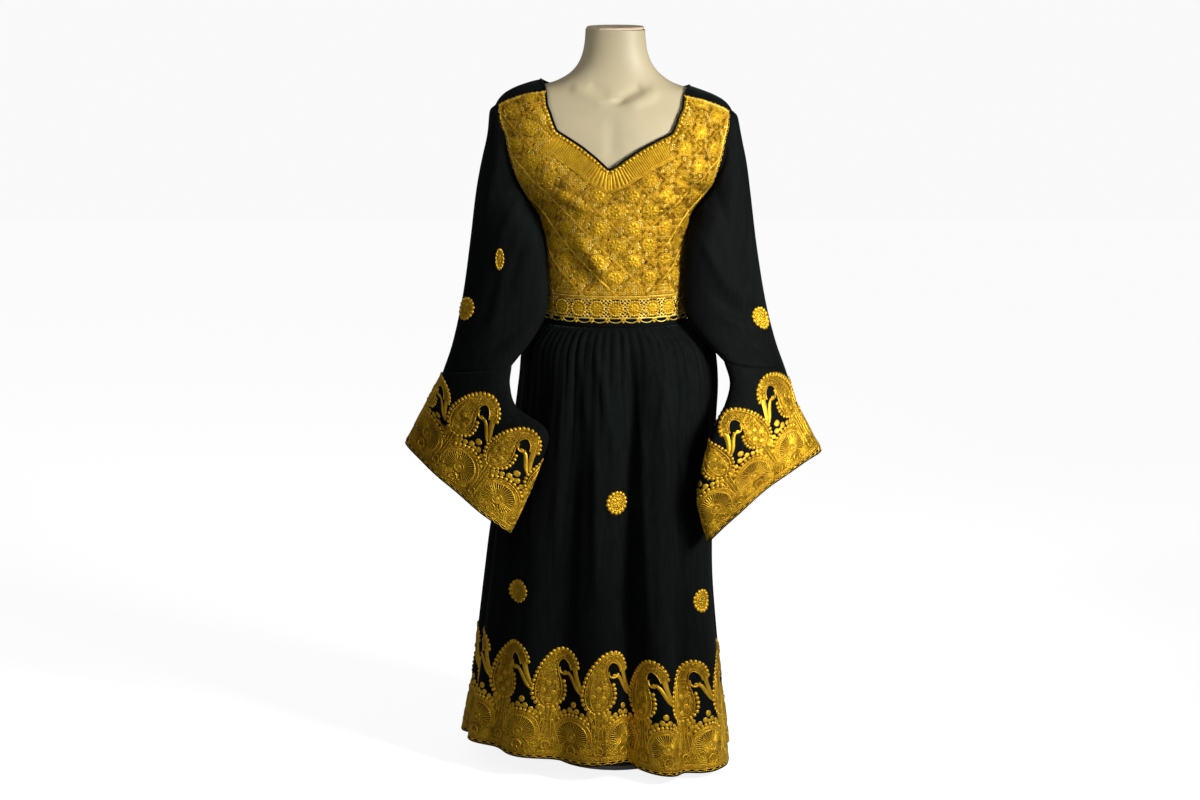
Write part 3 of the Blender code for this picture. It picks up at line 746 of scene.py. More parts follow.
    def rosette(self, radius: float, petals: int) -> FlatMesh:
        """A round flower of raised petals about a coiled eye, its radius in millimetres."""
        parts = [*dots(self.box.coil, ((0, 0, radius * 0.22),), 0.7),
                 self.box.button.stretched(radius * 0.86, radius * 0.86, 0.7)]
        petal = self.box.petal.stretched(1.35, 1, self.PETAL_HEIGHT)
        for k in range(petals):
            angle = 360 * k / petals
            a = math.radians(angle + 90)
            reach = radius * 0.2 * MM
            parts.append(petal.placed(reach * math.cos(a), reach * math.sin(a), angle,
                                      radius * 0.33, 0.2 * MM))
        return joined(parts + row(self.box.loop, arc(radius * 0.98, 0, 360, 2), 4.9, 1.9))

    def medallion(self) -> FlatMesh:
        """A scalloped round medallion, about 44 mm across."""
        pad = ((0.2, 0.9), (4, 0.9), (9, 1), (13.5, 0.9), (15.8, -0.4))
        parts = [ribbon(arc((r0 + r1) / 2, 360, 0, 3), (r1 - r0) / 2 * MM, mm(h1, h0), Finish.FILL)
                 for (r0, h0), (r1, h1) in zip(pad, pad[1:])]
        parts += row(self.box.bead, arc(18.2, 0, 360, 3), 7.6, 3.9)
        parts += [cord(arc(14.2, 0, 360, 2.6), 1.0, base=0.5),
                  self.rosette(11.5, 8).placed(0, 0, rise=0.8 * MM)]
        return joined(parts)

    def band(self, width: float) -> FlatMesh:
        """One repeat of the dense scroll band above the hem, width wide, with its foot at 0."""
        half, box = width / 2, self.box
        parts = [ribbon(level(half, 0.0275, 28), 0.0225,
                        mm(-0.4, 0.7, 0.8, 0.8, 0.8, 0.8, 0.8, 0.7, -0.4), Finish.FILL),
                 ribbon(level(half, 0.053, 28), 0.005, mm(0.1, 0.1, 0.1), Finish.FILL)]
        for side in SIDES:
            gusset = np.stack([np.full(12, 0.0135 * side), np.linspace(0.052, 0.09, 12)], axis=1)
            wide = np.interp(gusset[:, 1], (0.052, 0.075, 0.09), (0.004, 0.008, 0.013))
            gusset[:, 0] += side * (wide - 0.004)
            parts.append(ribbon(gusset, wide, mm(0.1, 0.25, 0.25, 0.1), Finish.FILL))
        flower = self.rosette(9.5, 7)
        parts += [flower.placed(s, 0.0215, rise=0.6 * MM) for s in (-half / 2, half / 2)]
        end = half / MM
        scrolls = (((0, 33), (5, 30), (7, 24), (4, 18), (0, 20), (1, 25)),
                   ((end, 31), (end - 6, 27), (end - 8, 20), (end - 4, 15), (end - 1, 19)))
        for side in SIDES:
            for scroll in scrolls:
                path = smooth_path([(s * side, t) for s, t in scroll], 2.5)
                parts.append(cord(path, 1.0, base=0.6))
        for height, pitch, size in ((0.0365, 5.2, 2), (0.0425, 5.2, 1.9), (0.0095, 5.6, 2.2)):
            parts += row(box.loop, level(half, height), pitch, size, 0.5)
        parts += [cord(level(half, height, 32), 1.0, base=0.1) for height in (0.0052, 0.0135)]
        scallop = smooth_path(((-7.6, 5), (-5.6, 2), (0, 0.6), (5.6, 2), (7.6, 5)), 2.2)
        for at in (np.arange(6) + 0.5) * width / 6 - half:
            parts += [cord(scallop + np.array([at, 0]), 0.9, base=0.2),
                      box.bead.placed(at + width / 12, 2.2 * MM, 0, 1.9)]
        return joined(parts)

    def border(self, width: float, fan: float = 1.0) -> FlatMesh:
        """One repeat of the border, a stalk and paisley with a fan to its right, drawn to a width."""
        whole = joined([self.band(self.REPEAT), self.stalk().placed(0, 0.092),
                        self.paisley().placed(0, 0.094),
                        self.fan().placed(self.REPEAT / 2, 0.046, 0, fan)])
        whole.verts[:, 0] *= width / self.REPEAT
        return whole


def laid(name: str, chart: Chart, shapes: Sequence[FlatMesh], materials: Sequence[Material],
         reach: float = 0.0) -> Thing:
    """Stitchwork laid on a chart's cloth as one piece.

    Args:
        name: The piece's name.
        chart: The cloth.
        shapes: The flat shapes at their flat places.
        materials: The finishes, in the order of Finish.
        reach: How far past the cloth's edge a point may be drawn in.

    Returns:
        The piece.
    """
    whole = joined(shapes)
    places, found = chart.lay(whole.verts, reach)
    kept = (found[whole.faces] | (whole.faces < 0)).all(axis=1)
    faces, finish = whole.faces[kept], whole.finish[kept]
    used = np.unique(faces[faces >= 0])
    renumber = np.full(len(places), -1)
    renumber[used] = np.arange(len(used))
    faces = np.where(faces >= 0, renumber[faces], -1)
    if chart.turned:
        faces = np.where(faces[:, 3:] >= 0, faces[:, [3, 2, 1, 0]], faces[:, [2, 1, 0, 3]])
    mesh = bpy.data.meshes.new(name)
    mesh.from_pydata(places[used].tolist(), [], [[k for k in f if k >= 0] for f in faces.tolist()])
    mesh.polygons.foreach_set("material_index", finish.astype(np.int32))
    for material in materials:
        mesh.materials.append(material)
    mesh.update()
    mesh.shade_smooth()
    thing = bpy.data.objects.new(name, mesh)
    bpy.context.scene.collection.objects.link(thing)
    return thing


# Finishes


class NodeBench:
    """Adds and joins nodes of one node tree."""

    def __init__(self, tree: bpy.types.NodeTree) -> None:
        """Keeps the tree."""
        self.tree = tree

    def fill(self, socket: Socket, value: object) -> None:
        """Fills an input with a value or with another node's output."""
        if isinstance(value, bpy.types.NodeSocket):
            self.tree.links.new(value, socket)
        else:
            socket.default_value = value

    def add(self, kind: str, inputs: dict[str | int, object] | None = None,
            **settings: object) -> bpy.types.Node:
        """Adds a node, sets it and fills its inputs, which go by name or number."""
        node = self.tree.nodes.new("ShaderNode" + kind)
        for key, value in settings.items():
            setattr(node, key, value)
        for key, value in (inputs or {}).items():
            self.fill(node.inputs[key], value)
        return node

    def maths(self, operation: str, a: object, b: object = 0.5, c: object = 0.5) -> Socket:
        """A maths node's output."""
        return self.add("Math", {0: a, 1: b, 2: c}, operation=operation).outputs[0]

    def spread(self, value: object, low: float, high: float, to_low: float = 0.0,
               to_high: float = 1.0) -> Socket:
        """A value brought from one range to another, smoothly, and held at its ends."""
        return self.add("MapRange", {"Value": value, "From Min": low, "From Max": high,
                                     "To Min": to_low, "To Max": to_high},
                        interpolation_type="SMOOTHSTEP").outputs["Result"]

    def mixed(self, share: object, a: object, b: object) -> Socket:
        """Two colours mixed."""
        return self.add("Mix", {0: share, 6: a, 7: b}, data_type="RGBA").outputs[2]

    def noise(self, place: Socket, scale: float, detail: float = 2.0,
              roughness: float = 0.5) -> Socket:
        """A noise's value."""
        return self.add("TexNoise", {"Vector": place, "Scale": scale, "Detail": detail,
                                     "Roughness": roughness}).outputs["Fac"]


def plain_material(name: str, **inputs: object) -> tuple[Material, NodeBench, bpy.types.Node]:
    """A new material, a bench for its nodes and its shader, with inputs_named_so set."""
    made = bpy.data.materials.new(name)
    made.use_nodes = True
    shader = made.node_tree.nodes["Principled BSDF"]
    for key, value in inputs.items():
        shader.inputs[key.replace("_", " ")].default_value = value
    return made, NodeBench(made.node_tree), shader


@dataclass(frozen=True)
class Coat:
    """A finish: a node group works out its colour, roughness and normal from Object coordinates."""

    name: str

    def layers(self, b: NodeBench, place: Socket) -> tuple[Socket, Socket, Socket]:
        """The colour, the roughness and the height at a place."""
        raise NotImplementedError

    def relief(self) -> tuple[float, float]:
        """The bump's strength, and its distance in metres."""
        raise NotImplementedError

    def settings(self) -> dict[str, object]:
        """What the shader's other inputs are set to."""
        return {}

    def make(self) -> Material:
        """The material."""
        group = bpy.data.node_groups.new(self.name + "_coat", "ShaderNodeTree")
        for label, kind in (("Colour", "Color"), ("Roughness", "Float"), ("Normal", "Vector")):
            group.interface.new_socket(label, in_out="OUTPUT", socket_type="NodeSocket" + kind)
        b = NodeBench(group)
        end = group.nodes.new("NodeGroupOutput")
        colour, roughness, height = self.layers(b, b.add("TexCoord").outputs["Object"])
        strength, distance = self.relief()
        bump = b.add("Bump", {"Height": height, "Strength": strength, "Distance": distance})
        made, bench, shader = plain_material(self.name, **self.settings())
        coat = bench.add("Group", node_tree=group)
        for value, label, socket in ((colour, "Colour", "Base Color"),
                                     (roughness, "Roughness", "Roughness"),
                                     (bump.outputs[0], "Normal", "Normal")):
            b.fill(end.inputs[label], value)
            bench.fill(shader.inputs[socket], coat.outputs[label])
        return made


@dataclass(frozen=True)
class Velvet(Coat):
    """Near-black green pile velvet with a soft teal sheen and brushed patches."""

    deep: Colour = (0.0012, 0.0015, 0.0015, 1)
    brushed: Colour = (0.0038, 0.0056, 0.0050, 1)
    tips: Colour = (0.0055, 0.0075, 0.0075, 1)
    sheen: Colour = (0.40, 0.62, 0.56, 1)

    def layers(self, b: NodeBench, place: Socket) -> tuple[Socket, Socket, Socket]:
        """The nap, its streaks and its fleck."""
        drawn, run = (b.add("Mapping", {"Vector": place, "Scale": (1, 1, up)}).outputs[0]
                      for up in (0.35, 0.12))
        nap = b.noise(drawn, 9.0, 4.0, 0.6)
        tone = b.maths("MULTIPLY_ADD", b.noise(run, 160, 3.0), 0.5, b.maths("MULTIPLY", nap, 0.9))
        fleck = b.spread(b.noise(place, 1400.0, 2.0, 0.7), 0.45, 0.75)
        base = b.mixed(b.spread(tone, 0.50, 0.95), self.deep, self.brushed)
        height = b.maths("ADD", b.maths("MULTIPLY", b.noise(place, 900.0, 3.0, 0.7), 0.6),
                         b.maths("MULTIPLY", b.noise(drawn, 70.0, 2.0), 0.8))
        return (b.mixed(b.maths("MULTIPLY", fleck, 0.35), base, self.tips),
                b.spread(nap, 0.35, 0.65, 0.72, 0.88), height)

    def relief(self) -> tuple[float, float]:
        """The pile's."""
        return 0.28, 0.0007

    def settings(self) -> dict[str, object]:
        """The sheen."""
        return {"Sheen_Weight": 0.055, "Sheen_Roughness": 0.36, "Sheen_Tint": self.sheen,
                "Specular_IOR_Level": 0.06}


@dataclass(frozen=True)
class GoldThread(Coat):
    """Metallic gold embroidery thread.

    Loops is how many couched loops stand side by side in a metre of a filled ground, 0 for a cord.
    """

    dark: Colour
    light: Colour
    # gap: the dark ground between couched loops, also painted into their hollows as shade
    gap: Colour = (0.105, 0.050, 0.004, 1)
    loops: float = 0.0
    roughness: float = 0.38
    metallic: float = 0.62

    def layers(self, b: NodeBench, place: Socket) -> tuple[Socket, Socket, Socket]:
        """The worn tone with a painted glint in fine bright specks, and the couched loops of a filled
        ground with painted shade in their hollows.
        """
        # glint: a fine noise that lightens the base colour in specks as a painted glint; it also sets
        # the roughness and the thread's bump
        glint = b.noise(place, 900.0, 2.0, 0.6)
        tone = b.maths("ADD", b.maths("MULTIPLY", b.noise(place, 7.0, 2.0), 0.45),
                       b.maths("MULTIPLY", b.noise(place, 60.0, 3.0, 0.6), 0.35))
        tone = b.spread(b.maths("MULTIPLY_ADD", glint, 0.55, tone), 0.48, 0.86)
        base = b.mixed(tone, self.dark, self.light)
        strand = b.maths("MULTIPLY", b.noise(place, 2200.0, 1.0), 0.5)
        height = b.maths("ADD", b.maths("MULTIPLY", glint, 0.8), strand)
        if self.loops:
            cells = {"Vector": place, "Scale": self.loops, "Randomness": 0.75}
            near = b.add("TexVoronoi", cells).outputs["Distance"]
            edge = b.add("TexVoronoi", cells, feature="DISTANCE_TO_EDGE").outputs["Distance"]
            ring = b.maths("SINE", b.maths("MULTIPLY", near, 19.0))
            between = b.spread(edge, 0.01, 0.09)
            # painted shade: the gaps between loops take the gap colour, partly the dark ground showing
            # and partly shade in the crevice; the troughs of each loop's rings are darkened towards it
            # as shade
            base = b.mixed(between, self.gap, base)
            base = b.mixed(b.spread(ring, -0.9, 0.1), b.mixed(0.45, base, self.gap), base)
            height = b.maths("MULTIPLY_ADD", ring, 0.9,
                             b.maths("MULTIPLY_ADD", between, 1.6, height))
        return base, b.spread(glint, 0.3, 0.7, self.roughness - 0.08, self.roughness + 0.14), height

    def relief(self) -> tuple[float, float]:
        """The thread's."""
        return 0.75, 0.0005

    def settings(self) -> dict[str, object]:
        """The metal."""
        return {"Metallic": self.metallic, "Specular_IOR_Level": 0.15}


@dataclass(frozen=True)
class Enamel(Coat):
    """A smooth painted or moulded surface with faint clouds and a fine grain."""

    base: Colour
    shade: Colour
    roughness: float = 0.42
    cloud: float = 9.0
    grain: float = 650.0
    strength: float = 0.06

    def layers(self, b: NodeBench, place: Socket) -> tuple[Socket, Socket, Socket]:
        """The clouds and the grain."""
        cloud = b.spread(b.noise(place, self.cloud, 3.0), 0.35, 0.70)
        fine = b.noise(place, self.grain, 3.0)
        return (b.mixed(cloud, self.base, self.shade),
                b.spread(fine, 0.3, 0.7, self.roughness - 0.05, self.roughness + 0.08), fine)

    def relief(self) -> tuple[float, float]:
        """The grain's."""
        return self.strength, 0.0004


class Finishes:
    """Every material of the dress, the form and the stand."""

    def __init__(self) -> None:
        """Makes them all."""
        self.velvet = Velvet("black_velvet").make()
        # the fill and the ground paint their gap colour into the hollows of their couched loops as
        # shade
        self.fill = GoldThread("gold_fill", (0.26, 0.124, 0.005, 1), (0.80, 0.485, 0.020, 1),
                               gap=(0.075, 0.036, 0.004, 1), loops=270.0).make()
        self.cord = GoldThread("gold_cord", (0.40, 0.205, 0.008, 1), (0.92, 0.56, 0.036, 1)).make()
        self.pale = GoldThread("pale_cord", (0.55, 0.34, 0.04, 1), (0.95, 0.69, 0.14, 1),
                               roughness=0.32).make()
        self.satin = GoldThread("gold_satin", (0.33, 0.172, 0.006, 1), (0.74, 0.450, 0.018, 1)).make()
        self.ribbed = GoldThread("gold_ribbed", (0.25, 0.130, 0.005, 1), (0.60, 0.35, 0.016, 1),
                                 roughness=0.42).make()
        self.ground = GoldThread("gold_ground", (0.20, 0.096, 0.004, 1), (0.70, 0.405, 0.016, 1),
                                 gap=(0.070, 0.030, 0.003, 1), loops=230.0).make()
        self.shell = Enamel("form_cream", (0.46, 0.385, 0.235, 1), (0.40, 0.345, 0.215, 1),
                            roughness=0.52).make()
        self.cap = Enamel("neck_brown", (0.64, 0.51, 0.34, 1), (0.50, 0.39, 0.26, 1),
                          roughness=0.6, cloud=60.0, strength=0.2).make()
        self.metal = Enamel("stand_paint", (0.78, 0.78, 0.75, 1), (0.70, 0.70, 0.67, 1),
                            roughness=0.35).make()
        self.stitched = self.fill, self.cord, self.pale, self.satin, self.velvet, self.ribbed


# The dress, piece by piece


@dataclass(frozen=True)
class Spot:
    """Where a medallion sits, seen from the front: x, z, its turn, size and how wide it is drawn."""

    x: float
    z: float
    angle: float = 0.0
    size: float = 1.0
    wide: float = 1.0
    back: bool = False


NEAR_SIDE_FIRST = 0.0004


def spot_chart(grid: Array, closed: bool, spot: Spot, reach: float = 0.030) -> Chart:
    """Flat cloth round one spot of a worn grid, which lies at its (0, 0)."""
    normals = grid_normals(grid, closed)
    away = (grid[..., 0] - spot.x) ** 2 + (grid[..., 2] - spot.z) ** 2
    away = away + np.where((normals[..., 1] > 0) == spot.back, 0, 1)
    away = away + NEAR_SIDE_FIRST * grid[..., 1] * (-1 if spot.back else 1)
    line, column = np.unravel_index(away.argmin(), away.shape)
    wide = int(reach / np.linalg.norm(grid[line, 2] - grid[line, 1])) + 2
    high = int(reach / np.linalg.norm(grid[line, column] - grid[line - 1, column])) + 2
    lines = np.arange(max(0, line - high), min(len(grid), line + high + 1))
    columns = np.arange(column - wide, column + wide + 1)
    last = grid.shape[1] - 1
    columns = np.mod(columns, last) if closed else np.clip(columns, 0, last)
    part = grid[lines][:, columns]
    along, up = arc_lengths(part, 1), arc_lengths(part, 0)
    at = int(np.nonzero(lines == line)[0][0])
    flat = np.stack([along - along[:, wide:wide + 1], up - up[at:at + 1]], axis=-1)
    return Chart((flat, part, normals[lines][:, columns]))


def medallions(name: str, grid: Array, closed: bool, spots: Sequence[Spot], motifs: Motifs,
               finishes: Finishes) -> Thing:
    """One piece of medallions scattered over a worn grid."""
    parts = []
    for i, spot in enumerate(spots):
        shape = motifs.medallion().placed(0, 0, spot.angle, spot.size).stretched(spot.wide, 1, 1)
        chart = spot_chart(grid, closed, spot)
        parts.append(laid(f"{name}_{i}", chart, [shape], finishes.stitched))
    piece = one_object(parts, name)
    return piece


@dataclass
class Skirt:
    """The gathered skirt in two halves, with its hem roll and embroidered border."""

    finishes: Finishes
    motifs: Motifs
    gathers: int = 70
    turn_step: float = 0.75
    half_columns: int = 240
    spare_columns: int = 12
    rows_low: int = 56
    rows_high: int = 24
    top_band: float = 0.100
    border_rows: int = 29
    border_level: float = 0.10
    repeats: int = 16
    border_start: float = 0.561
    roll: float = 0.0024

    # height, left, right, front, back, fold
    ROWS = (
        (0.818, 0.131, 0.131, 0.0992, 0.0922, 0), (0.804, 0.148, 0.152, 0.108, 0.097, 0),
        (0.773, 0.167, 0.178, 0.122, 0.113, 0.003), (0.708, 0.173, 0.186, 0.138, 0.131, 0.007),
        (0.628, 0.183, 0.181, 0.147, 0.144, 0.011), (0.538, 0.202, 0.176, 0.156, 0.153, 0.015),
        (0.448, 0.22, 0.172, 0.164, 0.16, 0.018), (0.358, 0.231, 0.171, 0.171, 0.166, 0.021),
        (0.268, 0.241, 0.177, 0.177, 0.171, 0.023), (0.15, 0.254, 0.188, 0.184, 0.176, 0.025),
        (HEM, 0.274, 0.201, 0.192, 0.182, 0.027),
    )
    # turn, spread, rise
    FOLDS = (
        (-176, 9, 0.8), (-162, 6, -0.8), (-149, 9, 0.9), (-135, 6, -0.7), (-122, 9, 0.8),
        (-107, 6, -0.9), (-93, 8, 0.45), (-79, 6, -0.5), (-65, 10, 0.6), (-50, 7, -0.2),
        (-36, 10, 0.5), (-21, 7, -0.4), (-7, 9, 0.6), (7, 5, -1.0), (20, 9, 1.1), (33, 5, -0.35),
        (40, 22, 0.9), (48, 10, 0.6), (60, 9, 0.55), (72, 9, 0.45), (84, 5, -0.8), (98, 8, 0.55),
        (112, 5, -0.7), (126, 9, 0.9), (141, 6, -0.8), (155, 8, 0.8), (168, 5, -0.7),
    )
    # how far the hem stands above or below its own curve: turn, rise
    HEM_RISE = (
        (-180, 0.002), (-120, 0.003), (-90, 0.008), (-70, 0.018), (-52, 0.014), (-44, 0.01),
        (-30, 0.0065), (-18, 0.002), (-7, 0.0005), (1, 0.0015), (6, -0.002), (10, -0.007),
        (20, -0.003), (35, 0), (50, 0.004), (65, 0), (120, 0.003), (180, 0.002),
    )
    HEM_RISE_UP_TO = 0.3
    CREASES = creases((
        (-0.036, 0.79, 0.006, 0.56, 0.0075, 0.0042), (-0.034, 0.63, -0.036, 0.33, 0.009, 0.006),
        (0.044, 0.7, 0.062, 0.24, 0.0085, 0.006), (0.085, 0.69, 0.112, 0.3, 0.009, 0.005),
        (-0.09, 0.74, -0.112, 0.42, 0.008, 0.004), (-0.15, 0.64, -0.158, 0.43, 0.01, 0.005),
        (0.01, 0.5, 0.018, 0.25, 0.008, -0.004), (-0.07, 0.56, -0.08, 0.3, 0.008, -0.004),
        (0.125, 0.6, 0.12, 0.42, 0.009, 0.004), (0.03, 0.76, 0.038, 0.56, 0.007, -0.0035),
        (-0.06, 0.77, -0.052, 0.64, 0.007, 0.003), (0.09, 0.77, 0.08, 0.64, 0.007, 0.003),
        (-0.12, 0.76, -0.135, 0.6, 0.008, -0.003),
    ), (
        (-0.02, 0.77, -0.028, 0.47, 0.0085, 0.0045), (0.05, 0.74, 0.064, 0.38, 0.009, 0.005),
        (-0.085, 0.7, -0.11, 0.34, 0.009, 0.005), (0.1, 0.66, 0.118, 0.4, 0.009, 0.004),
        (0.012, 0.56, 0.02, 0.3, 0.009, -0.004), (-0.15, 0.6, -0.176, 0.33, 0.01, 0.0045),
    ))
    MEDALLIONS = (
        Spot(0.0029, 0.512, 10), Spot(-0.175, 0.34, 0, 1.0, 1.2), Spot(0.1575, 0.323, 75),
        Spot(0.07, 0.39, 20, back=True), Spot(-0.09, 0.53, 60, back=True),
        Spot(-0.15, 0.35, 5, back=True), Spot(0.13, 0.53, 35, back=True),
        Spot(-0.01, 0.34, 80, back=True),
    )

    def __post_init__(self) -> None:
        """Reads the sections and settles how long and strong each gather is."""
        self.table = Sections(self.ROWS)
        chance = np.random.default_rng(5)
        self.gather_length = chance.uniform(0.030, 0.16, self.gathers)
        self.gather_length[chance.integers(0, self.gathers, 14)] = 0.32
        self.gather_strength = chance.uniform(0.35, 1.50, self.gathers)

    def gathering(self, turn: Array, depth: Array) -> Array:
        """How far the gathers stand in or out at a depth below the waist."""
        phase = turn * self.gathers + (48 * sin(5 * turn) + 34 * sin(11 * turn + 40))
        length = through_round(self.gather_length, phase / 360)
        strength = through_round(self.gather_strength, phase / 360)
        ridge = 2 * np.abs(cos(phase / 2)) ** 0.75 - 1
        rise = 0.0008 + 0.0013 * smooth_step(depth / 0.018)
        return ridge * strength * rise * np.exp(-((depth / length) ** 1.5))

    def outer(self, turn: Array, place: Array) -> Array:
        """Points of the outer face; place rises upwards, as a negative row number."""
        turn, place = paired(turn, place)
        sizes = self.table.at(-place)
        height = sizes[..., 0]
        xy = round_section(turn, sizes[..., 1:5])
        fold = np.zeros(turn.shape)
        for at, spread, rise in self.FOLDS:
            fold += rise * np.exp(-((half_turn(turn - at) / spread) ** 2))
        depth = WAISTBAND_FOOT - height
        out = unit(xy) * (sizes[..., 5] * fold + self.gathering(turn, depth))[..., None]
        fall = HEM_FALL * smooth_step(xy[..., 0] / HEM_FALL_WIDTH)
        fall = fall * smooth_step(depth / (WAISTBAND_FOOT - HEM))
        rise = np.interp(half_turn(turn), *np.array(self.HEM_RISE).T)
        fall = fall - rise * smooth_step((self.HEM_RISE_UP_TO - height) / self.HEM_RISE_UP_TO)
        return np.concatenate([xy + out, (height - fall)[..., None]], axis=-1)

    def grid(self) -> Array:
        """The whole skirt's outer face, a little more than once round, from the hem up."""
        low = np.linspace(HEM, WAISTBAND_FOOT - self.top_band, self.rows_low, endpoint=False)
        high = np.linspace(WAISTBAND_FOOT - self.top_band, WAISTBAND_FOOT, self.rows_high)
        place = -self.table.place_of(np.concatenate([low, high]))
        count = 2 * (self.half_columns + self.spare_columns) + 1
        turn = -90 + (np.arange(count) - self.spare_columns) * self.turn_step
        return pressed(self.outer(turn[None], place[:, None]), self.CREASES, False)

    def chart(self, grid: Array) -> tuple[Chart, Array]:
        """The border's flat cloth, and how far round each column of the grid is."""
        low = grid[:self.border_rows]
        t = arc_lengths(low, 0)
        measured = int(np.argmin(np.abs(t.mean(axis=1) - self.border_level)))
        s = arc_lengths(low[measured:measured + 1], 1)[0]
        s = s - s[self.spare_columns]
        flat = np.stack([np.broadcast_to(s, t.shape), t], axis=-1)
        return Chart((flat, low, grid_normals(low, False))), s

    def build(self) -> list[Thing]:
        """Builds the halves, the hem roll and the border."""
        grid = self.grid()
        a = self.spare_columns
        b, c = a + self.half_columns, a + 2 * self.half_columns
        pieces = []
        for node, part in (("skirt_front", grid[:, a:b + 1]), ("skirt_back", grid[:, b:c + 1])):
            piece = sheet_object(node + "_velvet", [part], VELVET_WALL, [self.finishes.velvet])
            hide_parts(node)
            pieces.append(piece)
        hem = grid[0, a:c] - grid_normals(grid, False)[0, a:c] * VELVET_WALL / 2
        roll = rolled("skirt_hem_roll", hem, self.roll, self.finishes.velvet)
        pieces += [roll, medallions("skirt_medallions", grid, False, self.MEDALLIONS, self.motifs,
                                    self.finishes)]
        chart, s = self.chart(grid)
        half, whole = s[b], s[c]
        pitch = whole / self.repeats
        border = self.motifs.border(pitch)
        centres = [(k + self.border_start) * pitch for k in range(self.repeats)]
        for name, first, last in (("skirt_front_border", 0.0, half),
                                  ("skirt_back_border", half, whole)):
            shapes = [border.placed(at, 0) for at in centres if first <= at < last]
            piece = laid(name, chart, shapes, self.finishes.stitched, 0.006)
            pieces.append(piece)
        return pieces


class Panels:
    """Where the bodice's panels lie on the form, each edge as (share of the way up, turn, height)."""

    ARMPIT = 0.5
    NECK_POINT = 0.625
    BACK_NECK = 0.75
    SHOULDER_TIP = (1.0, 76, 1.206)
    SHOULDER_NECK = (1.0, 42.5, 1.232)
    FRONT = (
        ((0, 0, WAIST), (NECK_POINT, 0, 1.1), (0.6667, 6.5, 1.1215), (0.7083, 13.2, 1.1402),
         (0.75, 20.2, 1.1552), (0.7917, 27, 1.168), (0.875, 30.5, 1.198), (0.9583, 36.5, 1.222),
         SHOULDER_NECK),
        ((0, 90, WAIST), (ARMPIT, 90, 1.026), (0.5417, 82, 1.032), (0.625, 75, 1.06),
         (0.75, 69, 1.108), (0.875, 67, 1.156), (0.9583, 71, 1.192), SHOULDER_TIP),
    )
    BACK = (
        ((0, 180, WAIST), (BACK_NECK, 180, 1.222), (0.8333, 144, 1.2325), (0.875, 115, 1.242),
         (0.9167, 90, 1.245), (0.9583, 64, 1.2428), (0.98, 52, 1.2385), SHOULDER_NECK),
        ((0, 90, WAIST), (ARMPIT, 90, 1.026), (0.5417, 98, 1.032), (0.625, 105, 1.06),
         (0.75, 112, 1.108), (0.875, 112, 1.156), (0.9583, 98, 1.196), SHOULDER_TIP),
    )
    LEAN = -2.4
    LEAN_WIDTH = 50.0
    ARMHOLE_STEPS = 12

    @staticmethod
    def edge(table: Table, share: Array) -> tuple[Array, Array]:
        """(turn, place on the form) of an edge at shares of the way up."""
        shares, turns, heights = np.array(table).T
        return np.interp(share, shares, turns), FORM.place_of(np.interp(share, shares, heights))

    @classmethod
    def spot(cls, front: bool, share: Array, across: Array, side: int) -> tuple[Array, Array]:
        """(turn, place) inside one half of a panel; across runs from the centre to the side."""
        (turn_in, place_in), (turn_out, place_out) = (
            cls.edge(table, share) for table in (cls.FRONT if front else cls.BACK))
        turn = turn_in + (turn_out - turn_in) * across
        lean = cls.LEAN * np.maximum(0.0, 1 - turn / cls.LEAN_WIDTH) ** 2
        return side * turn + lean, place_in + (place_out - place_in) * across

    @classmethod
    def armhole(cls, side: int) -> tuple[Array, Array]:
        """(turn, place) spots from the shoulder tip down the front and up the back."""
        step = (1 - cls.ARMPIT) / cls.ARMHOLE_STEPS
        low = [cls.ARMPIT + step * i for i in range(cls.ARMHOLE_STEPS)]
        shares = np.array(low + [1 - step * rest for rest in (0.62, 0.30, 0.0)])
        front = cls.spot(True, shares[::-1], np.ones(1), side)
        back = cls.spot(False, shares, np.ones(1), side)
        return tuple(np.concatenate([f, b[1:-1]]) for f, b in zip(front, back))


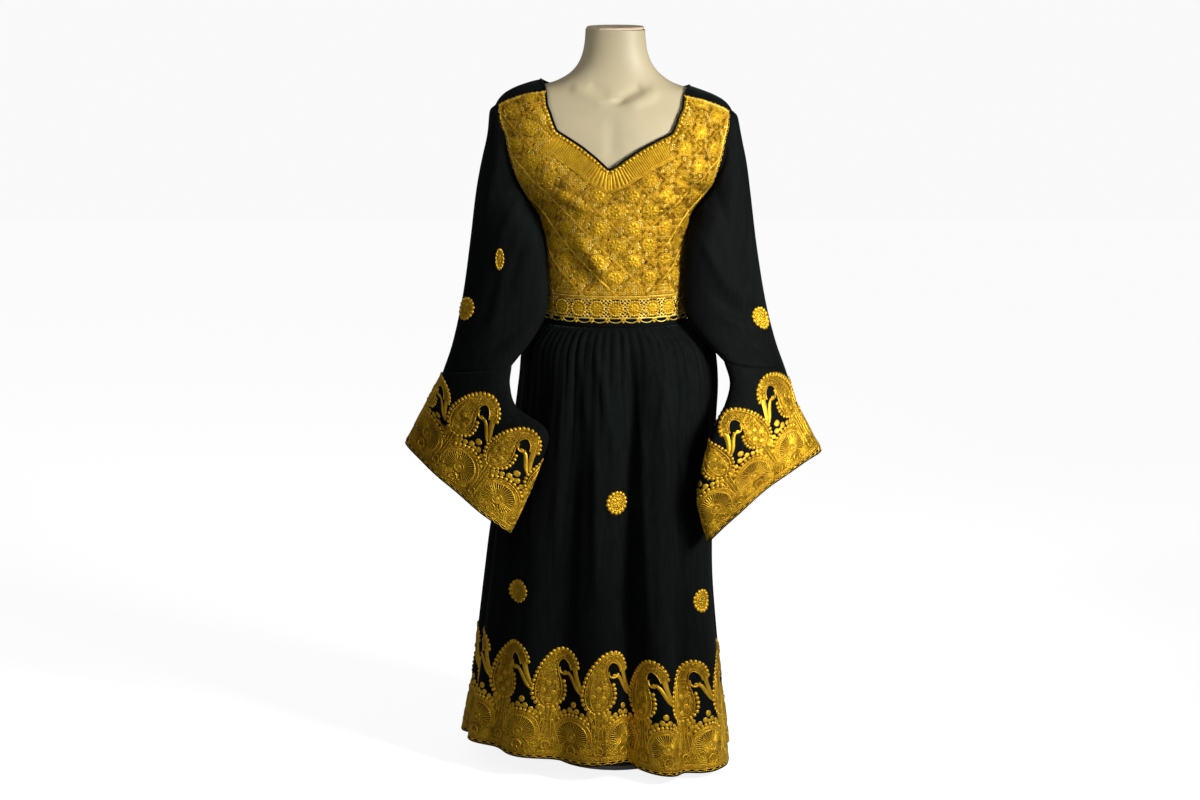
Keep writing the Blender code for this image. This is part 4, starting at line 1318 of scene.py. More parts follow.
@dataclass
class Bodice:
    """The embroidered front and the plain back."""

    finishes: Finishes
    rows: int = 80
    columns: int = 48
    seam: float = 0.0015
    widest: int = 96
    measured: int = 200
    side_turn: float = 55.0
    plain_below: float = 0.872

    CREASES = creases((
        (0.084, 1.054, 0.096, 1.03, 0.036, 0.0085), (-0.072, 1.056, -0.08, 1.036, 0.036, 0.007),
        (-0.006, 1.085, -0.006, 0.96, 0.012, -0.002), (-0.006, 1.092, -0.006, 0.975, 0.003, -0.0012),
        (0.11, 1.088, 0.156, 1.052, 0.007, -0.0075), (0.132, 1.1, 0.176, 1.066, 0.01, 0.005),
        (-0.14, 1.044, -0.09, 1.082, 0.011, -0.0045), (-0.15, 1.075, -0.105, 1.11, 0.012, 0.004),
        (-0.068, 0.985, -0.004, 0.897, 0.013, 0.005), (-0.102, 0.955, -0.034, 0.882, 0.017, -0.0055),
        (0.088, 0.998, 0.1, 0.93, 0.01, 0.0042), (0.117, 0.99, 0.112, 0.905, 0.008, -0.004),
        (-0.11, 0.99, -0.096, 0.915, 0.01, 0.003), (0.02, 0.96, 0.052, 0.905, 0.01, 0.0025),
    ))

    def __post_init__(self) -> None:
        """Measures the cloth over the form, for the flat cloth."""
        turns = np.linspace(-self.widest, self.widest, 2 * self.widest + 1)
        self.places = np.linspace(FORM.place_of(0.800), FORM.place_of(1.245), self.measured)
        along = arc_lengths(FORM.cloth(turns[None], self.places[:, None], EMBROIDERED_WALL), 1)
        self.s_table = along - along[:, self.widest:self.widest + 1]
        line = FORM.cloth(np.full(self.measured, self.side_turn), self.places, EMBROIDERED_WALL)
        up = arc_lengths(line, 0)
        self.t_table = up - np.interp(FORM.place_of(WAIST), self.places, up)

    def worn(self, turn: Array, place: Array) -> Array:
        """Points of the front's outer face, its bust and folds worked in."""
        points = FORM.cloth(turn, place, EMBROIDERED_WALL)
        return pressed(points, self.CREASES, False, outward(FORM.skin, turn, place))

    def flat(self, turn: Array, place: Array) -> Array:
        """Flat (s, t) of spots on the front."""
        column = np.clip(turn + self.widest, 0, 2 * self.widest - 1e-6)
        line = np.interp(place, self.places, np.arange(float(self.measured)))
        line = np.clip(line, 0, self.measured - 1 - 1e-6)
        i, j = line.astype(int), column.astype(int)
        u, v = line - i, column - j
        s = ((1 - u) * (1 - v) * self.s_table[i, j] + u * (1 - v) * self.s_table[i + 1, j]
             + (1 - u) * v * self.s_table[i, j + 1] + u * v * self.s_table[i + 1, j + 1])
        return np.stack([s, np.interp(place, self.places, self.t_table)], axis=-1)

    def spots(self, front: bool, side: int) -> tuple[Array, Array]:
        """(turn, place) of one half's grid, its columns to the viewer's right, its rows up."""
        share = np.linspace(0, 1, self.rows + 1)[:, None]
        across = np.linspace(0, 1 - self.seam, self.columns + 1)[None]
        turn, place = Panels.spot(front, share, across, side)
        place = np.maximum(place, FORM.place_of(WAIST + 0.0004))
        if not front and side < 0:
            turn = turn + 360
        return (turn[:, ::-1], place[:, ::-1]) if (side < 0) == front else (turn, place)

    def build(self) -> list[Thing]:
        """Builds the front and the back."""
        velvet = self.finishes.velvet
        grids = [self.worn(*self.spots(True, side)) for side in SIDES]
        front = sheet_object("bodice_front_ground", grids, EMBROIDERED_WALL,
                             [self.finishes.ground, velvet])
        for face in front.data.polygons:
            if face.center.z < self.plain_below:
                face.material_index = 1
        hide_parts("bodice_front")
        grids = [FORM.cloth(*self.spots(False, -side), VELVET_WALL) for side in SIDES]
        back = sheet_object("bodice_back_velvet", grids, VELVET_WALL, [velvet])
        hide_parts("bodice_back")
        return [front, back]


@dataclass
class BodiceStitches:
    """The bodice's embroidery, drawn on its flat cloth."""

    bodice: Bodice
    motifs: Motifs
    finishes: Finishes
    bead_row: float = 0.0055
    band_from: float = 0.0085
    band_to: float = 0.0375
    band_edge: float = 0.0415
    band_until: float = 0.112
    rib: float = 0.0040
    straight: float = 0.024
    eased: int = 7
    lattice_from: float = 0.0440
    bare: float = 0.0085
    hem_band: float = 0.0410
    top: float = 0.46
    half_width: float = 0.26
    diamond: tuple[float, float] = (0.031, 0.030)
    diamond_foot: float = 0.075
    flower: float = 12.5
    loop_pitch: float = 0.0068

    def __post_init__(self) -> None:
        """Lays out the panel's edges on the flat cloth."""
        self.box = self.motifs.box
        up, low = np.linspace(Panels.ARMPIT, 1.0, 100), np.linspace(0.0, Panels.ARMPIT, 60)
        neck, across = np.linspace(Panels.NECK_POINT, 1.0, 120), np.linspace(0, 1, 40)
        self.neck, self.armhole, self.side_seam, self.shoulder = (
            {side: self.bodice.flat(*Panels.spot(True, share, place, side)) for side in SIDES}
            for share, place in ((neck, np.zeros(120)), (up, np.ones(100)), (low, np.ones(60)),
                                 (np.ones(1), across)))

    def chart(self) -> Chart:
        """The front panel's flat cloth, with a strip past its waist and its sides."""
        share = np.linspace(0, 1, 81)[:, None]
        across = np.concatenate([np.linspace(0, 1, 49), [1.012, 1.026]])[None]
        left, right = (Panels.spot(True, share, across, side) for side in SIDES)
        below = FORM.place_of(np.linspace(0.815, WAIST, 6))[:, None]
        panels = []
        for turn, place in ([values[:, ::-1] for values in left], right,
                            np.broadcast_arrays(np.linspace(-95, 95, 191)[None], below)):
            worn = self.bodice.worn(turn, place)
            panels.append((self.bodice.flat(turn, place), worn, grid_normals(worn, False)))
        return Chart(*panels)

    @staticmethod
    def inside(points: Array, outline: Array) -> Array:
        """Which points lie inside a closed outline."""
        x, y = points[:, 0][:, None], points[:, 1][:, None]
        a, b = outline, np.roll(outline, -1, axis=0)
        spans = (a[:, 1] > y) != (b[:, 1] > y)
        rise = np.where(b[:, 1] == a[:, 1], TINY, b[:, 1] - a[:, 1])
        cross = (b[:, 0] - a[:, 0]) * (y - a[:, 1]) / rise + a[:, 0]
        return (spans & (x < cross)).sum(axis=1) % 2 == 1

    @staticmethod
    def away(points: Array, line: Array) -> Array:
        """How far points are from a line."""
        return np.linalg.norm(points[:, None] - line[None], axis=2).min(axis=1)

    def outline(self) -> Array:
        """The whole panel's edge on the flat cloth."""
        left, right = ([self.side_seam[side], self.armhole[side], self.shoulder[side][::-1],
                        self.neck[side][::-1]] for side in SIDES)
        return np.concatenate(right + [part[::-1] for part in left[::-1]])

    def field(self, points: Array, margin: float = 0.0) -> Array:
        """Which points lie in the latticed middle of the panel, a margin inside its edge."""
        neck, sides = (np.concatenate([edge[side] for edge in edges for side in SIDES])
                       for edges in ((self.neck,), (self.armhole, self.side_seam)))
        good = self.inside(points, self.outline()) & (points[:, 1] > self.hem_band + margin)
        good &= self.away(points, neck) > self.bare + margin
        last = self.banded - 1
        for side in SIDES:
            spots, inward = self.ribs(side)
            close = spots[last] + inward[last] * np.linspace(0, self.lattice_from, 12)[:, None]
            outer = (spots + inward * self.lattice_from)[:last]
            band = np.concatenate([spots[:last], close, outer[::-1]])
            good &= ~self.inside(points, band) & (self.away(points, band[last:]) > margin)
        return good & (self.away(points, sides) > 0.004 + margin)

    @property
    def banded(self) -> int:
        """How many ribs the collar's band has on each side of its point."""
        return round(self.band_until / self.rib)

    def ribs(self, side: int) -> tuple[Array, Array]:
        """Where the neckline's ribs start, from its point up, and the way each of them lies."""
        spots, angles = stations(self.neck[side], self.rib)
        reach = np.linalg.norm(spots - self.neck[side][0], axis=1)
        share = smooth_step(reach / self.straight)[:, None]
        inward = aside(angles) * side * share + np.array([0, -1.0]) * (1 - share)
        for _ in range(self.eased):
            inward[1:-1] = unit(inward[:-2] + 2 * inward[1:-1] + inward[2:])
        return spots, inward

    def collar(self) -> list[FlatMesh]:
        """The bead row inside the piping and the ribbed satin band."""
        parts = []
        for side in SIDES:
            spots, inward = self.ribs(side)
            ribs = spots + inward * np.linspace(self.band_from, self.band_to, 5)[:, None, None]
            half = 0.50 * np.linalg.norm(np.gradient(ribs, axis=1), axis=-1)
            parts += [ribbon(ribs[:, k], half[:, k], mm(0, 0.8, 1, 0.8, 0), Finish.RIBBED)
                      for k in range(self.banded)]
            beads, *edges = (spots + inward * d for d in (self.bead_row, self.band_to, self.band_edge))
            edges = [edge[:self.banded] for edge in edges]
            parts += row(self.box.bead, beads, 7.6, 3.3)
            parts += [cord(line, 0.7, base=0.5) for line in (ribs[:, self.banded], *edges)]
            parts += row(self.box.loop, (edges[0] + edges[1]) / 2, 4.4, 1.5, 0.5)
        return parts

    def lattice(self) -> list[FlatMesh]:
        """The diamond lattice with its flowers and the loops that fill what is left."""
        parts = []
        (a, b), t0 = self.diamond, self.diamond_foot
        slant = math.hypot(a, b)
        t = np.arange(0.0, self.top, 0.003)
        step = np.array([a, b]) / slant
        for lean in SIDES:
            side = np.array([step[1], -lean * step[0]]) * MM
            for k in range(-16, 17):
                line = np.stack([a * k * 2 + lean * (t - t0 - b) * a / b, t], axis=1)
                good = self.field(line)
                for run in np.split(np.arange(len(line)), np.nonzero(np.diff(good))[0] + 1):
                    if len(run) > 2 and good[run[0]]:
                        parts += [cord(line[run] + way * side, 0.5, base=0.3) for way in SIDES]
        flower = self.motifs.rosette(self.flower, 8)
        centres = np.array([(i * a, t0 + j * b) for i in range(-8, 9) for j in range(-2, 16)
                            if (i + j) % 2 == 0])
        centres = centres[self.field(centres, 0.006)]
        parts += [flower.placed(*at, 22.0 * i, rise=0.4 * MM) for i, at in enumerate(centres)]
        rows = []
        for j, height in enumerate(np.arange(self.hem_band, self.top, self.loop_pitch * 0.87)):
            first = -self.half_width + (self.loop_pitch / 2 if j % 2 else 0)
            s = np.arange(first, self.half_width, self.loop_pitch)
            rows.append(np.stack([s, np.full(len(s), height)], axis=1))
        spots = np.concatenate(rows)
        spots = spots[self.field(spots, 0.0015)]
        spots = spots[self.away(spots, centres) > (self.flower + 3.6) * MM]
        u, v = spots[:, 0] / a, (spots[:, 1] - t0 - b) / b
        near = np.minimum(*(np.abs(w - np.round(w)) for w in ((u - v) / 2, (u + v) / 2)))
        spots = spots[near * 2 * a * b / slant > 0.0036]
        loops = self.box.loop, self.box.loop.dyed(Finish.PALE), self.box.loop
        return parts + [loops[i % 3].placed(*at, 37.0 * i, 2.5, 0.2 * MM)
                        for i, at in enumerate(spots)]

    def hem(self) -> list[FlatMesh]:
        """The border of medallions above the waist, with its picot loops."""
        reach = float(self.side_seam[1][0, 0])

        def at(height: float) -> Array:
            """The line at a height in millimetres."""
            return level(reach, height * MM, 120)

        beads = row(self.box.bead, arc(12.9, 0, 360, 2), 4.6, 2.2)
        parts = row(joined([self.motifs.rosette(10.6, 8), *beads]), at(19), 34, 1, 0.3)
        centres, _ = stations(at(19), 0.034)
        ring = self.box.loop.dyed(Finish.PALE)
        for height in (5, 12, 19, 26, 33):
            spots, _ = stations(at(height), 0.0068)
            spots = spots[self.away(spots, centres) > 15 * MM]
            parts += [ring.placed(s, t, 0, 2.9) for s, t in spots]
        parts += row(self.box.loop, at(37.4), 5.2, 2, 0.2)
        parts += [cord(at(height), radius, Finish.PALE, 0.2)
                  for height, radius in ((41, 0.8), (1.6, 1.1))]
        scallop = smooth_path(((-14, 2), (-10, -4), (0, -6.6), (10, -4), (14, 2)), 2.4)
        for s, t in stations(at(0), 0.028)[0]:
            parts.append(cord(scallop + np.array([s, t]), 0.85, Finish.PALE, 0.3))
            parts += [self.box.bead.placed(s + dx * MM, t + dy * MM, 0, 2.5)
                      for dx, dy in ((11.6, 0), (16.4, 0), (14, -5))]
        return parts

    def edges(self) -> list[FlatMesh]:
        """Cords and picots along the armholes and the shoulder seams."""
        parts = []
        for side in SIDES:
            for path, pitch, way in ((self.armhole[side], 0.0105, side),
                                     (self.shoulder[side], 0.0090, -side)):
                spots, angles = stations(path, 0.003)
                out = aside(angles) * way
                parts.append(cord(spots - out * 0.0030, 1.2, Finish.PALE, 0.5))
                parts += row(self.box.loop, spots - out * 0.0062, 5, 1.8, 0.4)
                parts += row(self.box.loop, path, pitch / MM, 3.9, 0.7)
        return parts

    def build(self) -> list[Thing]:
        """Builds the embroidery."""
        shapes = self.collar() + self.lattice() + self.hem() + self.edges()
        piece = laid("bodice_embroidery", self.chart(), shapes, self.finishes.stitched, 0.003)
        return [piece]


@dataclass
class Trimmings:
    """The piping round the neckline and the soft band at the waist."""

    finishes: Finishes
    piping: float = 0.0022
    piping_lift: float = 0.0018
    eased: int = 24
    eased_all_round: int = 3
    corner_from: float = 1.205
    corner_over: float = 0.020
    band_rows: int = 10
    tuck: float = 0.14

    def neckline(self) -> Array:
        """The neckline's edge, once round from the centre front."""
        front = np.linspace(Panels.NECK_POINT, 1.0, 90)
        back = np.linspace(Panels.BACK_NECK, 1.0, 60)[:-1][::-1]
        right, left = (np.concatenate([
            FORM.cloth(*Panels.spot(is_front, share, np.zeros(1), side), self.piping_lift)
            for is_front, share in ((True, front), (False, back))]) for side in (1, -1))
        return np.concatenate([right, left[::-1][1:-1]])

    def build(self) -> list[Thing]:
        """Builds the piping and the waistband."""
        path = self.neckline()
        high = smooth_step((path[:, 2:] - self.corner_from) / self.corner_over)
        for i in range(self.eased):
            beside = (np.roll(path, 1, axis=0) + 2 * path + np.roll(path, -1, axis=0)) / 4
            path = path + (beside - path) * (1 if i < self.eased_all_round else high)
        piping = rolled("neck_piping", path, self.piping, self.finishes.velvet)
        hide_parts("neck_binding")
        up = np.linspace(-self.tuck, 1, self.band_rows + 1)
        place = FORM.place_of(WAISTBAND_FOOT + (WAIST - WAISTBAND_FOOT) * up)
        puff = VELVET_WALL + 0.0010 * np.sin(np.pi * up) - 0.0012 * (up < 0)
        grid = FORM.cloth(np.linspace(-180, 180, 193)[None], place[:, None], 0.0)
        grid = grid + grid_normals(grid, True) * puff[:, None, None]
        band = sheet_object("waistband_roll", [grid], VELVET_WALL, [self.finishes.velvet])
        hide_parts("waistband")
        return [piping, band]


@dataclass
class Sleeve:
    """One sleeve: a fitted upper part, and a bell with its embroidered border and hem roll."""

    side: Side
    finishes: Finishes
    motifs: Motifs
    columns: int = 96
    rows: int = 64
    bell_rows: int = 50
    ripple: float = 0.004
    ripples: int = 7
    cap_length: float = 0.007
    cap_swell: float = 0.007
    cap_blend: float = 0.45
    roll: float = 0.0022
    pitch: float = 0.0935
    scale: float = 0.90
    fan: float = 1.16
    seam_short: float = 0.62
    band_top: float = 0.056

    # outer x, y, z, inner x, y, z, depth, lift
    ELBOW = {
        Side.LEFT: ((-0.3125, -0.034, 0.728, -0.186, -0.09, 0.748, 0.035, 0),),
        Side.RIGHT: ((0.307, -0.034, 0.738, 0.195, -0.09, 0.756, 0.035, 0),),
    }
    UPPER = {
        Side.LEFT: (
            (-0.24, -0.006, 1.113, -0.133, -0.02, 1.008, 0.044, 0),
            (-0.2515, -0.008, 1.051, -0.126, -0.046, 0.974, 0.045, 0),
            (-0.262, -0.012, 0.966, -0.1225, -0.056, 0.923, 0.044, 0),
            (-0.2757, -0.018, 0.868, -0.122, -0.062, 0.85, 0.041, 0),
            (-0.2943, -0.026, 0.782, -0.145, -0.076, 0.8, 0.037, 0),
        ),
        Side.RIGHT: (
            (0.236, -0.006, 1.109, 0.133, -0.02, 1.004, 0.044, 0),
            (0.2445, -0.008, 1.047, 0.126, -0.046, 0.97, 0.045, 0),
            (0.2555, -0.012, 0.958, 0.1225, -0.056, 0.923, 0.044, 0),
            (0.272, -0.018, 0.858, 0.122, -0.062, 0.85, 0.041, 0),
            (0.29, -0.026, 0.786, 0.15, -0.076, 0.803, 0.037, 0),
        ),
    }
    BELL = {
        Side.LEFT: (
            (-0.329, -0.038, 0.698, -0.1885, -0.108, 0.714, 0.037, 0),
            (-0.349, -0.042, 0.66, -0.174, -0.134, 0.678, 0.04, 0),
            (-0.367, -0.045, 0.626, -0.12, -0.16, 0.64, 0.043, 0),
            (-0.374, -0.048, 0.613, -0.136, -0.166, 0.578, 0.045, 0),
            (-0.378, -0.05, 0.607, -0.161, -0.168, 0.516, 0.046, 0),
            (-0.3805, -0.05, 0.6, -0.187, -0.168, 0.46, 0.046, 0),
        ),
        Side.RIGHT: (
            (0.318, -0.038, 0.706, 0.205, -0.106, 0.718, 0.037, 0),
            (0.33, -0.042, 0.67, 0.193, -0.13, 0.678, 0.04, 0),
            (0.347, -0.045, 0.636, 0.172, -0.152, 0.64, 0.043, 0.002),
            (0.36, -0.048, 0.612, 0.157, -0.162, 0.58, 0.045, 0.006),
            (0.37, -0.05, 0.597, 0.147, -0.17, 0.52, 0.046, 0.012),
            (0.374, -0.05, 0.586, 0.164, -0.17, 0.444, 0.046, 0.02),
        ),
    }
    CREASES = {
        Side.LEFT: creases((
            (-0.205, 1.15, -0.235, 1, 0.01, 0.004), (-0.165, 1.06, -0.215, 0.96, 0.009, 0.0045),
            (-0.15, 1, -0.2, 0.88, 0.009, -0.0035), (-0.24, 1, -0.262, 0.85, 0.009, -0.003),
            (-0.19, 0.94, -0.225, 0.8, 0.01, 0.004), (-0.165, 0.87, -0.255, 0.8, 0.008, 0.0035),
            (-0.15, 0.84, -0.23, 0.77, 0.008, -0.0035),
        ), (
            (-0.19, 1.08, -0.24, 0.94, 0.011, 0.004), (-0.16, 0.99, -0.235, 0.87, 0.01, -0.0035),
            (-0.18, 0.9, -0.26, 0.82, 0.009, 0.004), (-0.19, 0.83, -0.27, 0.77, 0.009, -0.003),
        )),
        Side.RIGHT: creases((
            (0.135, 1.11, 0.16, 1.01, 0.009, 0.0045), (0.165, 1.11, 0.205, 0.98, 0.01, -0.004),
            (0.205, 1.1, 0.24, 0.96, 0.01, 0.004), (0.15, 0.98, 0.205, 0.88, 0.009, 0.0045),
            (0.19, 0.9, 0.255, 0.85, 0.008, 0.0045), (0.17, 0.88, 0.245, 0.82, 0.007, -0.004),
            (0.18, 0.84, 0.275, 0.8, 0.008, 0.004), (0.19, 0.8, 0.27, 0.775, 0.007, -0.003),
        ), (
            (0.185, 1.08, 0.235, 0.94, 0.011, 0.004), (0.16, 0.99, 0.225, 0.87, 0.01, -0.0035),
            (0.18, 0.9, 0.255, 0.82, 0.009, 0.004), (0.19, 0.83, 0.265, 0.78, 0.009, -0.003),
        )),
    }
    MEDALLIONS = {
        Side.LEFT: (Spot(-0.205, 0.937, 0, 0.92, 0.45), Spot(-0.27, 0.85, 50),
                    Spot(-0.215, 1.05, 30, back=True), Spot(-0.23, 0.86, 70, back=True)),
        Side.RIGHT: (Spot(0.264, 0.828, 35), Spot(0.205, 1.03, 5, back=True),
                     Spot(0.225, 0.87, 55, back=True)),
    }
    SHOULDER_BULGE = {Side.LEFT: 0.0, Side.RIGHT: 0.0020}
    # how far along the hem from the outer fold the first paisley stands
    FIRST_PAISLEY = {Side.LEFT: 0.002, Side.RIGHT: 0.031}

    @property
    def word(self) -> str:
        """The side's word in piece names."""
        return self.side.name.lower()

    def ring(self, values: Array, angle: Array, ripple: Array | float) -> Array:
        """Points of flattened rings: angle 0 is the outer fold, 90 the front, 180 the inner one."""
        outer, inner = values[..., 0:3], values[..., 3:6]
        c, s = cos(angle), sin(angle)
        depth = values[..., 6] + ripple * sin(self.ripples * angle) * np.abs(s)
        shift = np.stack([np.zeros_like(depth * s), -depth * s, values[..., 7] * s * s], axis=-1)
        return (outer + inner) / 2 + (outer - inner) / 2 * c[..., None] + shift

    def ordered(self, grid: Array) -> Array:
        """A grid from the top down, turned to run up, with columns to the viewer's right."""
        grid = np.concatenate([grid, grid[:, :1]], axis=1)[::-1]
        return grid if self.side is Side.LEFT else grid[:, ::-1]

    def upper_grid(self) -> Array:
        """The upper sleeve's outer face."""
        turn, place = Panels.armhole(self.side.value)
        outer = FORM.cloth(turn, place, VELVET_WALL)
        normal = unit(outer - FORM.cloth(turn, place, 0.0))
        into = unit(np.cross(normal, np.roll(outer, -1, axis=0) - np.roll(outer, 1, axis=0)))
        towards = np.sum(into * (outer.mean(axis=0) - outer), axis=1)
        into = np.where(towards[:, None] < 0, -into, into)
        at = np.arange(self.columns) / self.columns
        body = self.ring(np.array(self.UPPER[self.side] + self.ELBOW[self.side])[:, None],
                         360 * at[None], 0.0)
        top, cap = (through_round(edge, at * len(turn)) for edge in (
            outer, outer + into * self.cap_length + normal * self.cap_swell))
        blend = cap + (body[0] - cap) * self.cap_blend
        high = (0.5 + 0.5 * np.cos(2 * np.pi * at)) ** 2 * self.SHOULDER_BULGE[self.side]
        blend = blend + high[:, None] * np.array([self.side.value, 0.0, 0.4])
        rows = np.concatenate([[top, cap, blend], body])
        grid = through(rows, np.linspace(0, len(rows) - 1, self.rows + 1))
        return pressed(self.ordered(grid), self.CREASES[self.side], True)

    def bell_rings(self) -> tuple[Array, Array]:
        """The bell's ring sizes and its ripple, from the elbow down to the hem."""
        rings = np.array(self.ELBOW[self.side] + self.BELL[self.side])
        i = np.linspace(0, len(rings) - 1, self.bell_rows + 1)
        return through(rings, i)[:, None], self.ripple * smooth_step(i / (len(rings) - 1))[:, None]

    def bell_grid(self) -> Array:
        """The bell's outer face."""
        values, ripple = self.bell_rings()
        angle = 360 * np.arange(self.columns) / self.columns
        return self.ordered(self.ring(values, angle[None], ripple))

    def bell_chart(self, back: bool) -> Chart:
        """The flat cloth of the bell's front or back.

        Flat s runs along the hem from the outer fold to the inner one, and t straight up from it.

        Args:
            back: Whether it is the back.

        Returns:
            The chart.
        """
        values, ripple = (part[::-1] for part in self.bell_rings())
        angle = np.linspace(-4, 184, 65)[None]
        grid = self.ring(values, -angle if back else angle, ripple)
        along = arc_lengths(grid, 1)
        outer, inner = values[:, 0, 0:3:2], values[:, 0, 3:6:2]
        way = unit(inner - outer)
        start = (outer + inner) / 2 - way * along[:, -1:] / 2
        flat = start[:, None] + way[:, None] * along[..., None]
        hem = way[0]
        rise = np.array([-hem[1], hem[0]])
        rise = rise if rise[1] > 0 else -rise
        flat = np.stack([(flat - start[0]) @ hem, (flat - start[0]) @ rise], axis=-1)
        normals = grid_normals(grid, False)
        away = grid - (values[..., 0:3] + values[..., 3:6]) / 2
        return Chart((flat, grid, normals if np.sum(normals * away) >= 0 else -normals))

    def border(self) -> list[Thing]:
        """The bell's embroidered border, front and back."""
        pieces = []
        shape = self.motifs.border(self.pitch / self.scale, self.fan)
        above = np.maximum(shape.verts[:, 1:2] - self.band_top, 0)
        short = FlatMesh(shape.verts + above * np.array([[0, self.seam_short - 1, 0]]), shape.faces,
                         shape.finish)
        firsts = [self.FIRST_PAISLEY[self.side] + k * self.pitch for k in range(-1, 5)]
        shapes = [(short if at < 0.02 else shape).placed(at, 0, 0, self.scale) for at in firsts]
        for word, back in (("front", False), ("back", True)):
            piece = laid(f"bell_{self.word}_border_{word}", self.bell_chart(back), shapes,
                         self.finishes.stitched, 0.004)
            pieces.append(piece)
        return pieces

    def build(self) -> list[Thing]:
        """Builds the upper sleeve, the bell, the hem roll and the border."""
        velvet = self.finishes.velvet
        arm = self.upper_grid()
        upper = sheet_object(f"sleeve_{self.word}_velvet", [arm], VELVET_WALL, [velvet])
        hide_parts(f"sleeve_{self.word}")
        grid = self.bell_grid()
        bell = sheet_object(f"bell_{self.word}_velvet", [grid], VELVET_WALL, [velvet])
        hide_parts(f"sleeve_bell_{self.word}")
        hem = grid[0, :-1] - grid_normals(grid, True)[0, :-1] * VELVET_WALL / 2
        roll = rolled(f"bell_{self.word}_roll", hem, self.roll, velvet)
        dotted = medallions(f"sleeve_{self.word}_medallions", arm, True, self.MEDALLIONS[self.side],
                            self.motifs, self.finishes)
        return [upper, bell, roll, dotted, *self.border()]


# The form, the stand and the studio


@dataclass
class DressForm:
    """The cream limbless form and its brown neck cap."""

    finishes: Finishes
    columns: int = 200
    rows: int = 130
    soft_from: float = 1.247
    soft_front: float = 0.030
    softened: int = 110
    neck_in: float = 0.10
    neck_in_at: float = 1.268
    fade: float = 0.015

    CREASES = creases((
        (-0.012, 1.211, -0.083, 1.246, 0.0125, 0.0042), (0.017, 1.209, 0.08, 1.239, 0.012, 0.0045),
        (0.004, 1.226, 0.006, 1.213, 0.0085, -0.006), (0.006, 1.224, 0.05, 1.244, 0.01, -0.0048),
        (-0.012, 1.228, -0.05, 1.248, 0.011, -0.003), (-0.006, 1.195, -0.006, 1.12, 0.01, -0.0026),
    ))

    def build(self) -> list[Thing]:
        """Builds the form finer than its solid, and gives the cap its finish."""
        turn = np.linspace(-180, 180, self.columns + 1)
        place = np.linspace(0, len(FORM.ROWS) - 1, self.rows + 1)
        grid = FORM.skin(turn[None], place[:, None])
        near = np.exp(-(((grid[..., 2] - self.neck_in_at) / self.fade) ** 2))
        grid[..., 0] *= 1 - self.neck_in * near
        front = np.maximum(cos(turn), 0)[:, None] ** 3
        height = grid[1:-1, :, 2:3].copy()
        soft = smooth_step((height - self.soft_from + self.soft_front * front) / 0.010)
        soft = soft * smooth_step((NECK_TOP - height) / self.fade)
        for _ in range(self.softened):
            eased = (grid[:-2] + 2 * grid[1:-1] + grid[2:]) / 4
            beside = (np.roll(eased[:, :-1], 1, axis=1) + np.roll(eased[:, :-1], -1, axis=1)) / 2
            beside = np.concatenate([beside, beside[:, :1]], axis=1)
            grid[1:-1] += ((eased + beside) / 2 - grid[1:-1]) * soft
        shell = grid_object("form_shell", pressed(grid, self.CREASES, True))
        with editing():
            bpy.ops.mesh.remove_doubles(threshold=WELD)
            bpy.ops.mesh.fill_holes(sides=0)
            bpy.ops.mesh.select_all(action="SELECT")
            bpy.ops.mesh.normals_make_consistent(inside=False)
        shell.data.materials.append(self.finishes.shell)
        bpy.ops.object.shade_smooth_by_angle(angle=math.radians(50))
        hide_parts("form_torso")
        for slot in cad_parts["form_neck_cap"].material_slots:
            slot.material = self.finishes.cap
        return [shell]


@dataclass
class Stand:
    """The painted base and pole, kept from the solids."""

    finishes: Finishes

    def build(self) -> list[Thing]:
        """Gives the stand its paint."""
        for name in ("stand_base", "stand_pole"):
            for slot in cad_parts[name].material_slots:
                slot.material = self.finishes.metal
        return []


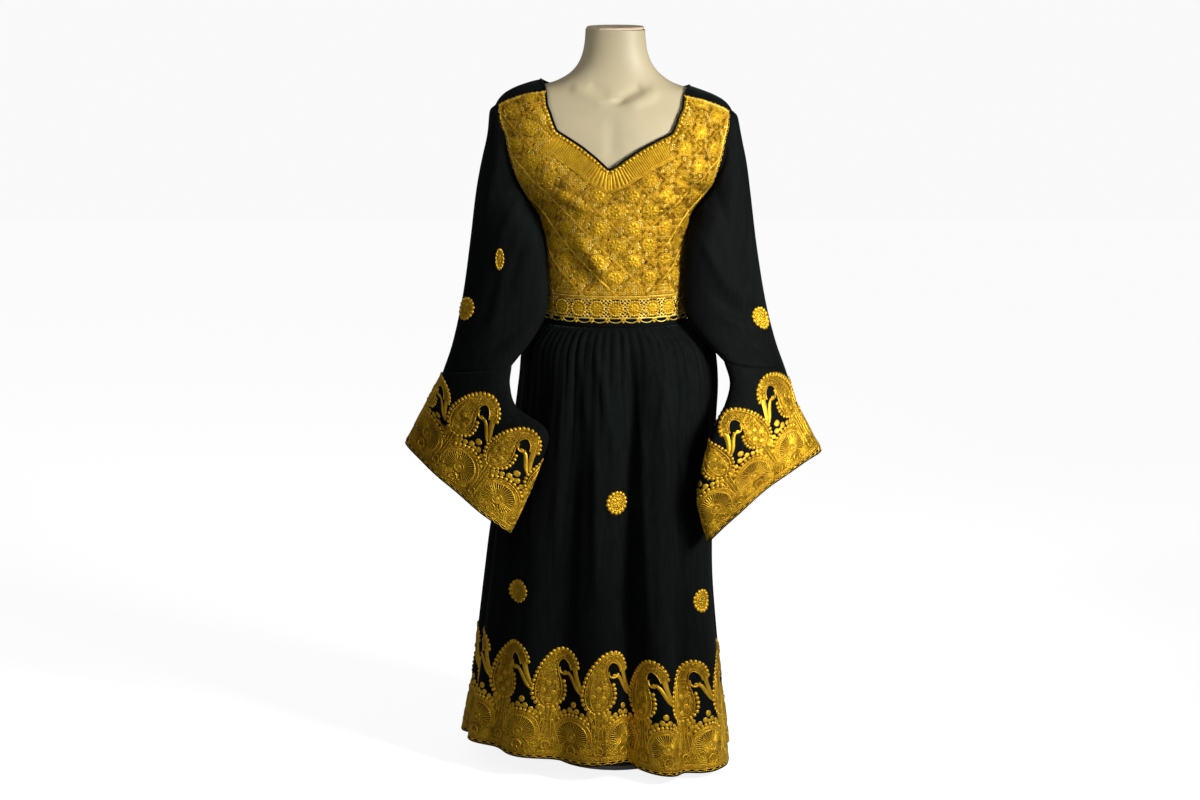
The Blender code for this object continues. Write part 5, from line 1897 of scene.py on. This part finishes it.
@dataclass
class Studio:
    """A pale floor, soft light and the photograph's camera."""

    camera_place: Place = (-0.0275, -5.5, 1.688)
    tilt: float = 79.5
    lens: float = 91.74
    sensor: float = 36.0
    seen_floor: float = 0.873
    seen_sky: float = 0.95
    ambient: float = 0.15

    # name, place, size, watts, where it looks, its beam's spread in degrees
    LIGHTS = (
        ("key", (1.45, -1.25, 1.42), 0.6, 14.0, (0.10, 0, 0.95), 85),
        ("front", (-1.1, -2.9, 3.0), 1.8, 1.20, (-0.05, 0, 1.28), 56),
        ("shoulder", (-1.5, -1.6, 2.6), 0.5, 0.24, (-0.12, 0, 1.27), 20),
    )

    def floor(self) -> None:
        """Lays the paper, whose glow only the camera sees."""
        bpy.ops.mesh.primitive_plane_add(size=16, location=(0, 0, 0))
        floor = bpy.context.active_object
        floor.name = "studio_floor"
        paper, b, shader = plain_material("studio_paper", Base_Color=(0.55, 0.55, 0.55, 1),
                                          Roughness=0.9, Emission_Color=(1, 1, 1, 1))
        seen = b.add("LightPath").outputs["Is Camera Ray"]
        b.fill(shader.inputs["Emission Strength"], b.maths("MULTIPLY", seen, self.seen_floor))
        floor.data.materials.append(paper)

    def sky(self) -> None:
        """Makes the white sky, which lights little and looks bright."""
        world = bpy.data.worlds.new("studio")
        world.use_nodes = True
        b = NodeBench(world.node_tree)
        ground = world.node_tree.nodes["Background"]
        ground.inputs["Color"].default_value = (1, 1, 1, 1)
        seen = b.add("LightPath").outputs["Is Camera Ray"]
        b.fill(ground.inputs["Strength"],
               b.maths("MULTIPLY_ADD", seen, self.seen_sky - self.ambient, self.ambient))
        bpy.context.scene.world = world

    def build(self) -> None:
        """Builds the studio."""
        self.floor()
        self.sky()
        for name, place, size, power, aim, spread in self.LIGHTS:
            bpy.ops.object.light_add(type="AREA", location=place)
            lamp = bpy.context.active_object
            lamp.name = name
            lamp.data.size = size
            lamp.data.energy = power
            lamp.data.spread = math.radians(spread)
            lamp.rotation_euler = (Vector(aim) - Vector(place)).to_track_quat("-Z", "Y").to_euler()
        bpy.ops.object.camera_add(location=self.camera_place,
                                  rotation=(math.radians(self.tilt), 0, 0))
        camera = bpy.context.active_object
        camera.data.sensor_width = self.sensor
        camera.data.lens = self.lens
        bpy.context.scene.camera = camera
        bpy.context.scene.view_settings.view_transform = "Standard"


def main() -> None:
    """Builds the dress on its form and stand, in its studio."""
    logging.basicConfig(level=logging.INFO, format="%(message)s")
    finishes = Finishes()
    motifs = Motifs(NeedleBox())
    bodice = Bodice(finishes)
    makers = [Stand(finishes), DressForm(finishes), bodice, BodiceStitches(bodice, motifs, finishes),
              Trimmings(finishes), Skirt(finishes, motifs), *(Sleeve(side, finishes, motifs)
                                                              for side in Side)]
    for maker in makers:
        for piece in maker.build():
            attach(piece, BODY)
            triangles = sum(len(face.vertices) - 2 for face in piece.data.polygons)
            LOG.info("%s: %d triangles", piece.name, triangles)
    Studio().build()


if __name__ == "__main__":
    main()
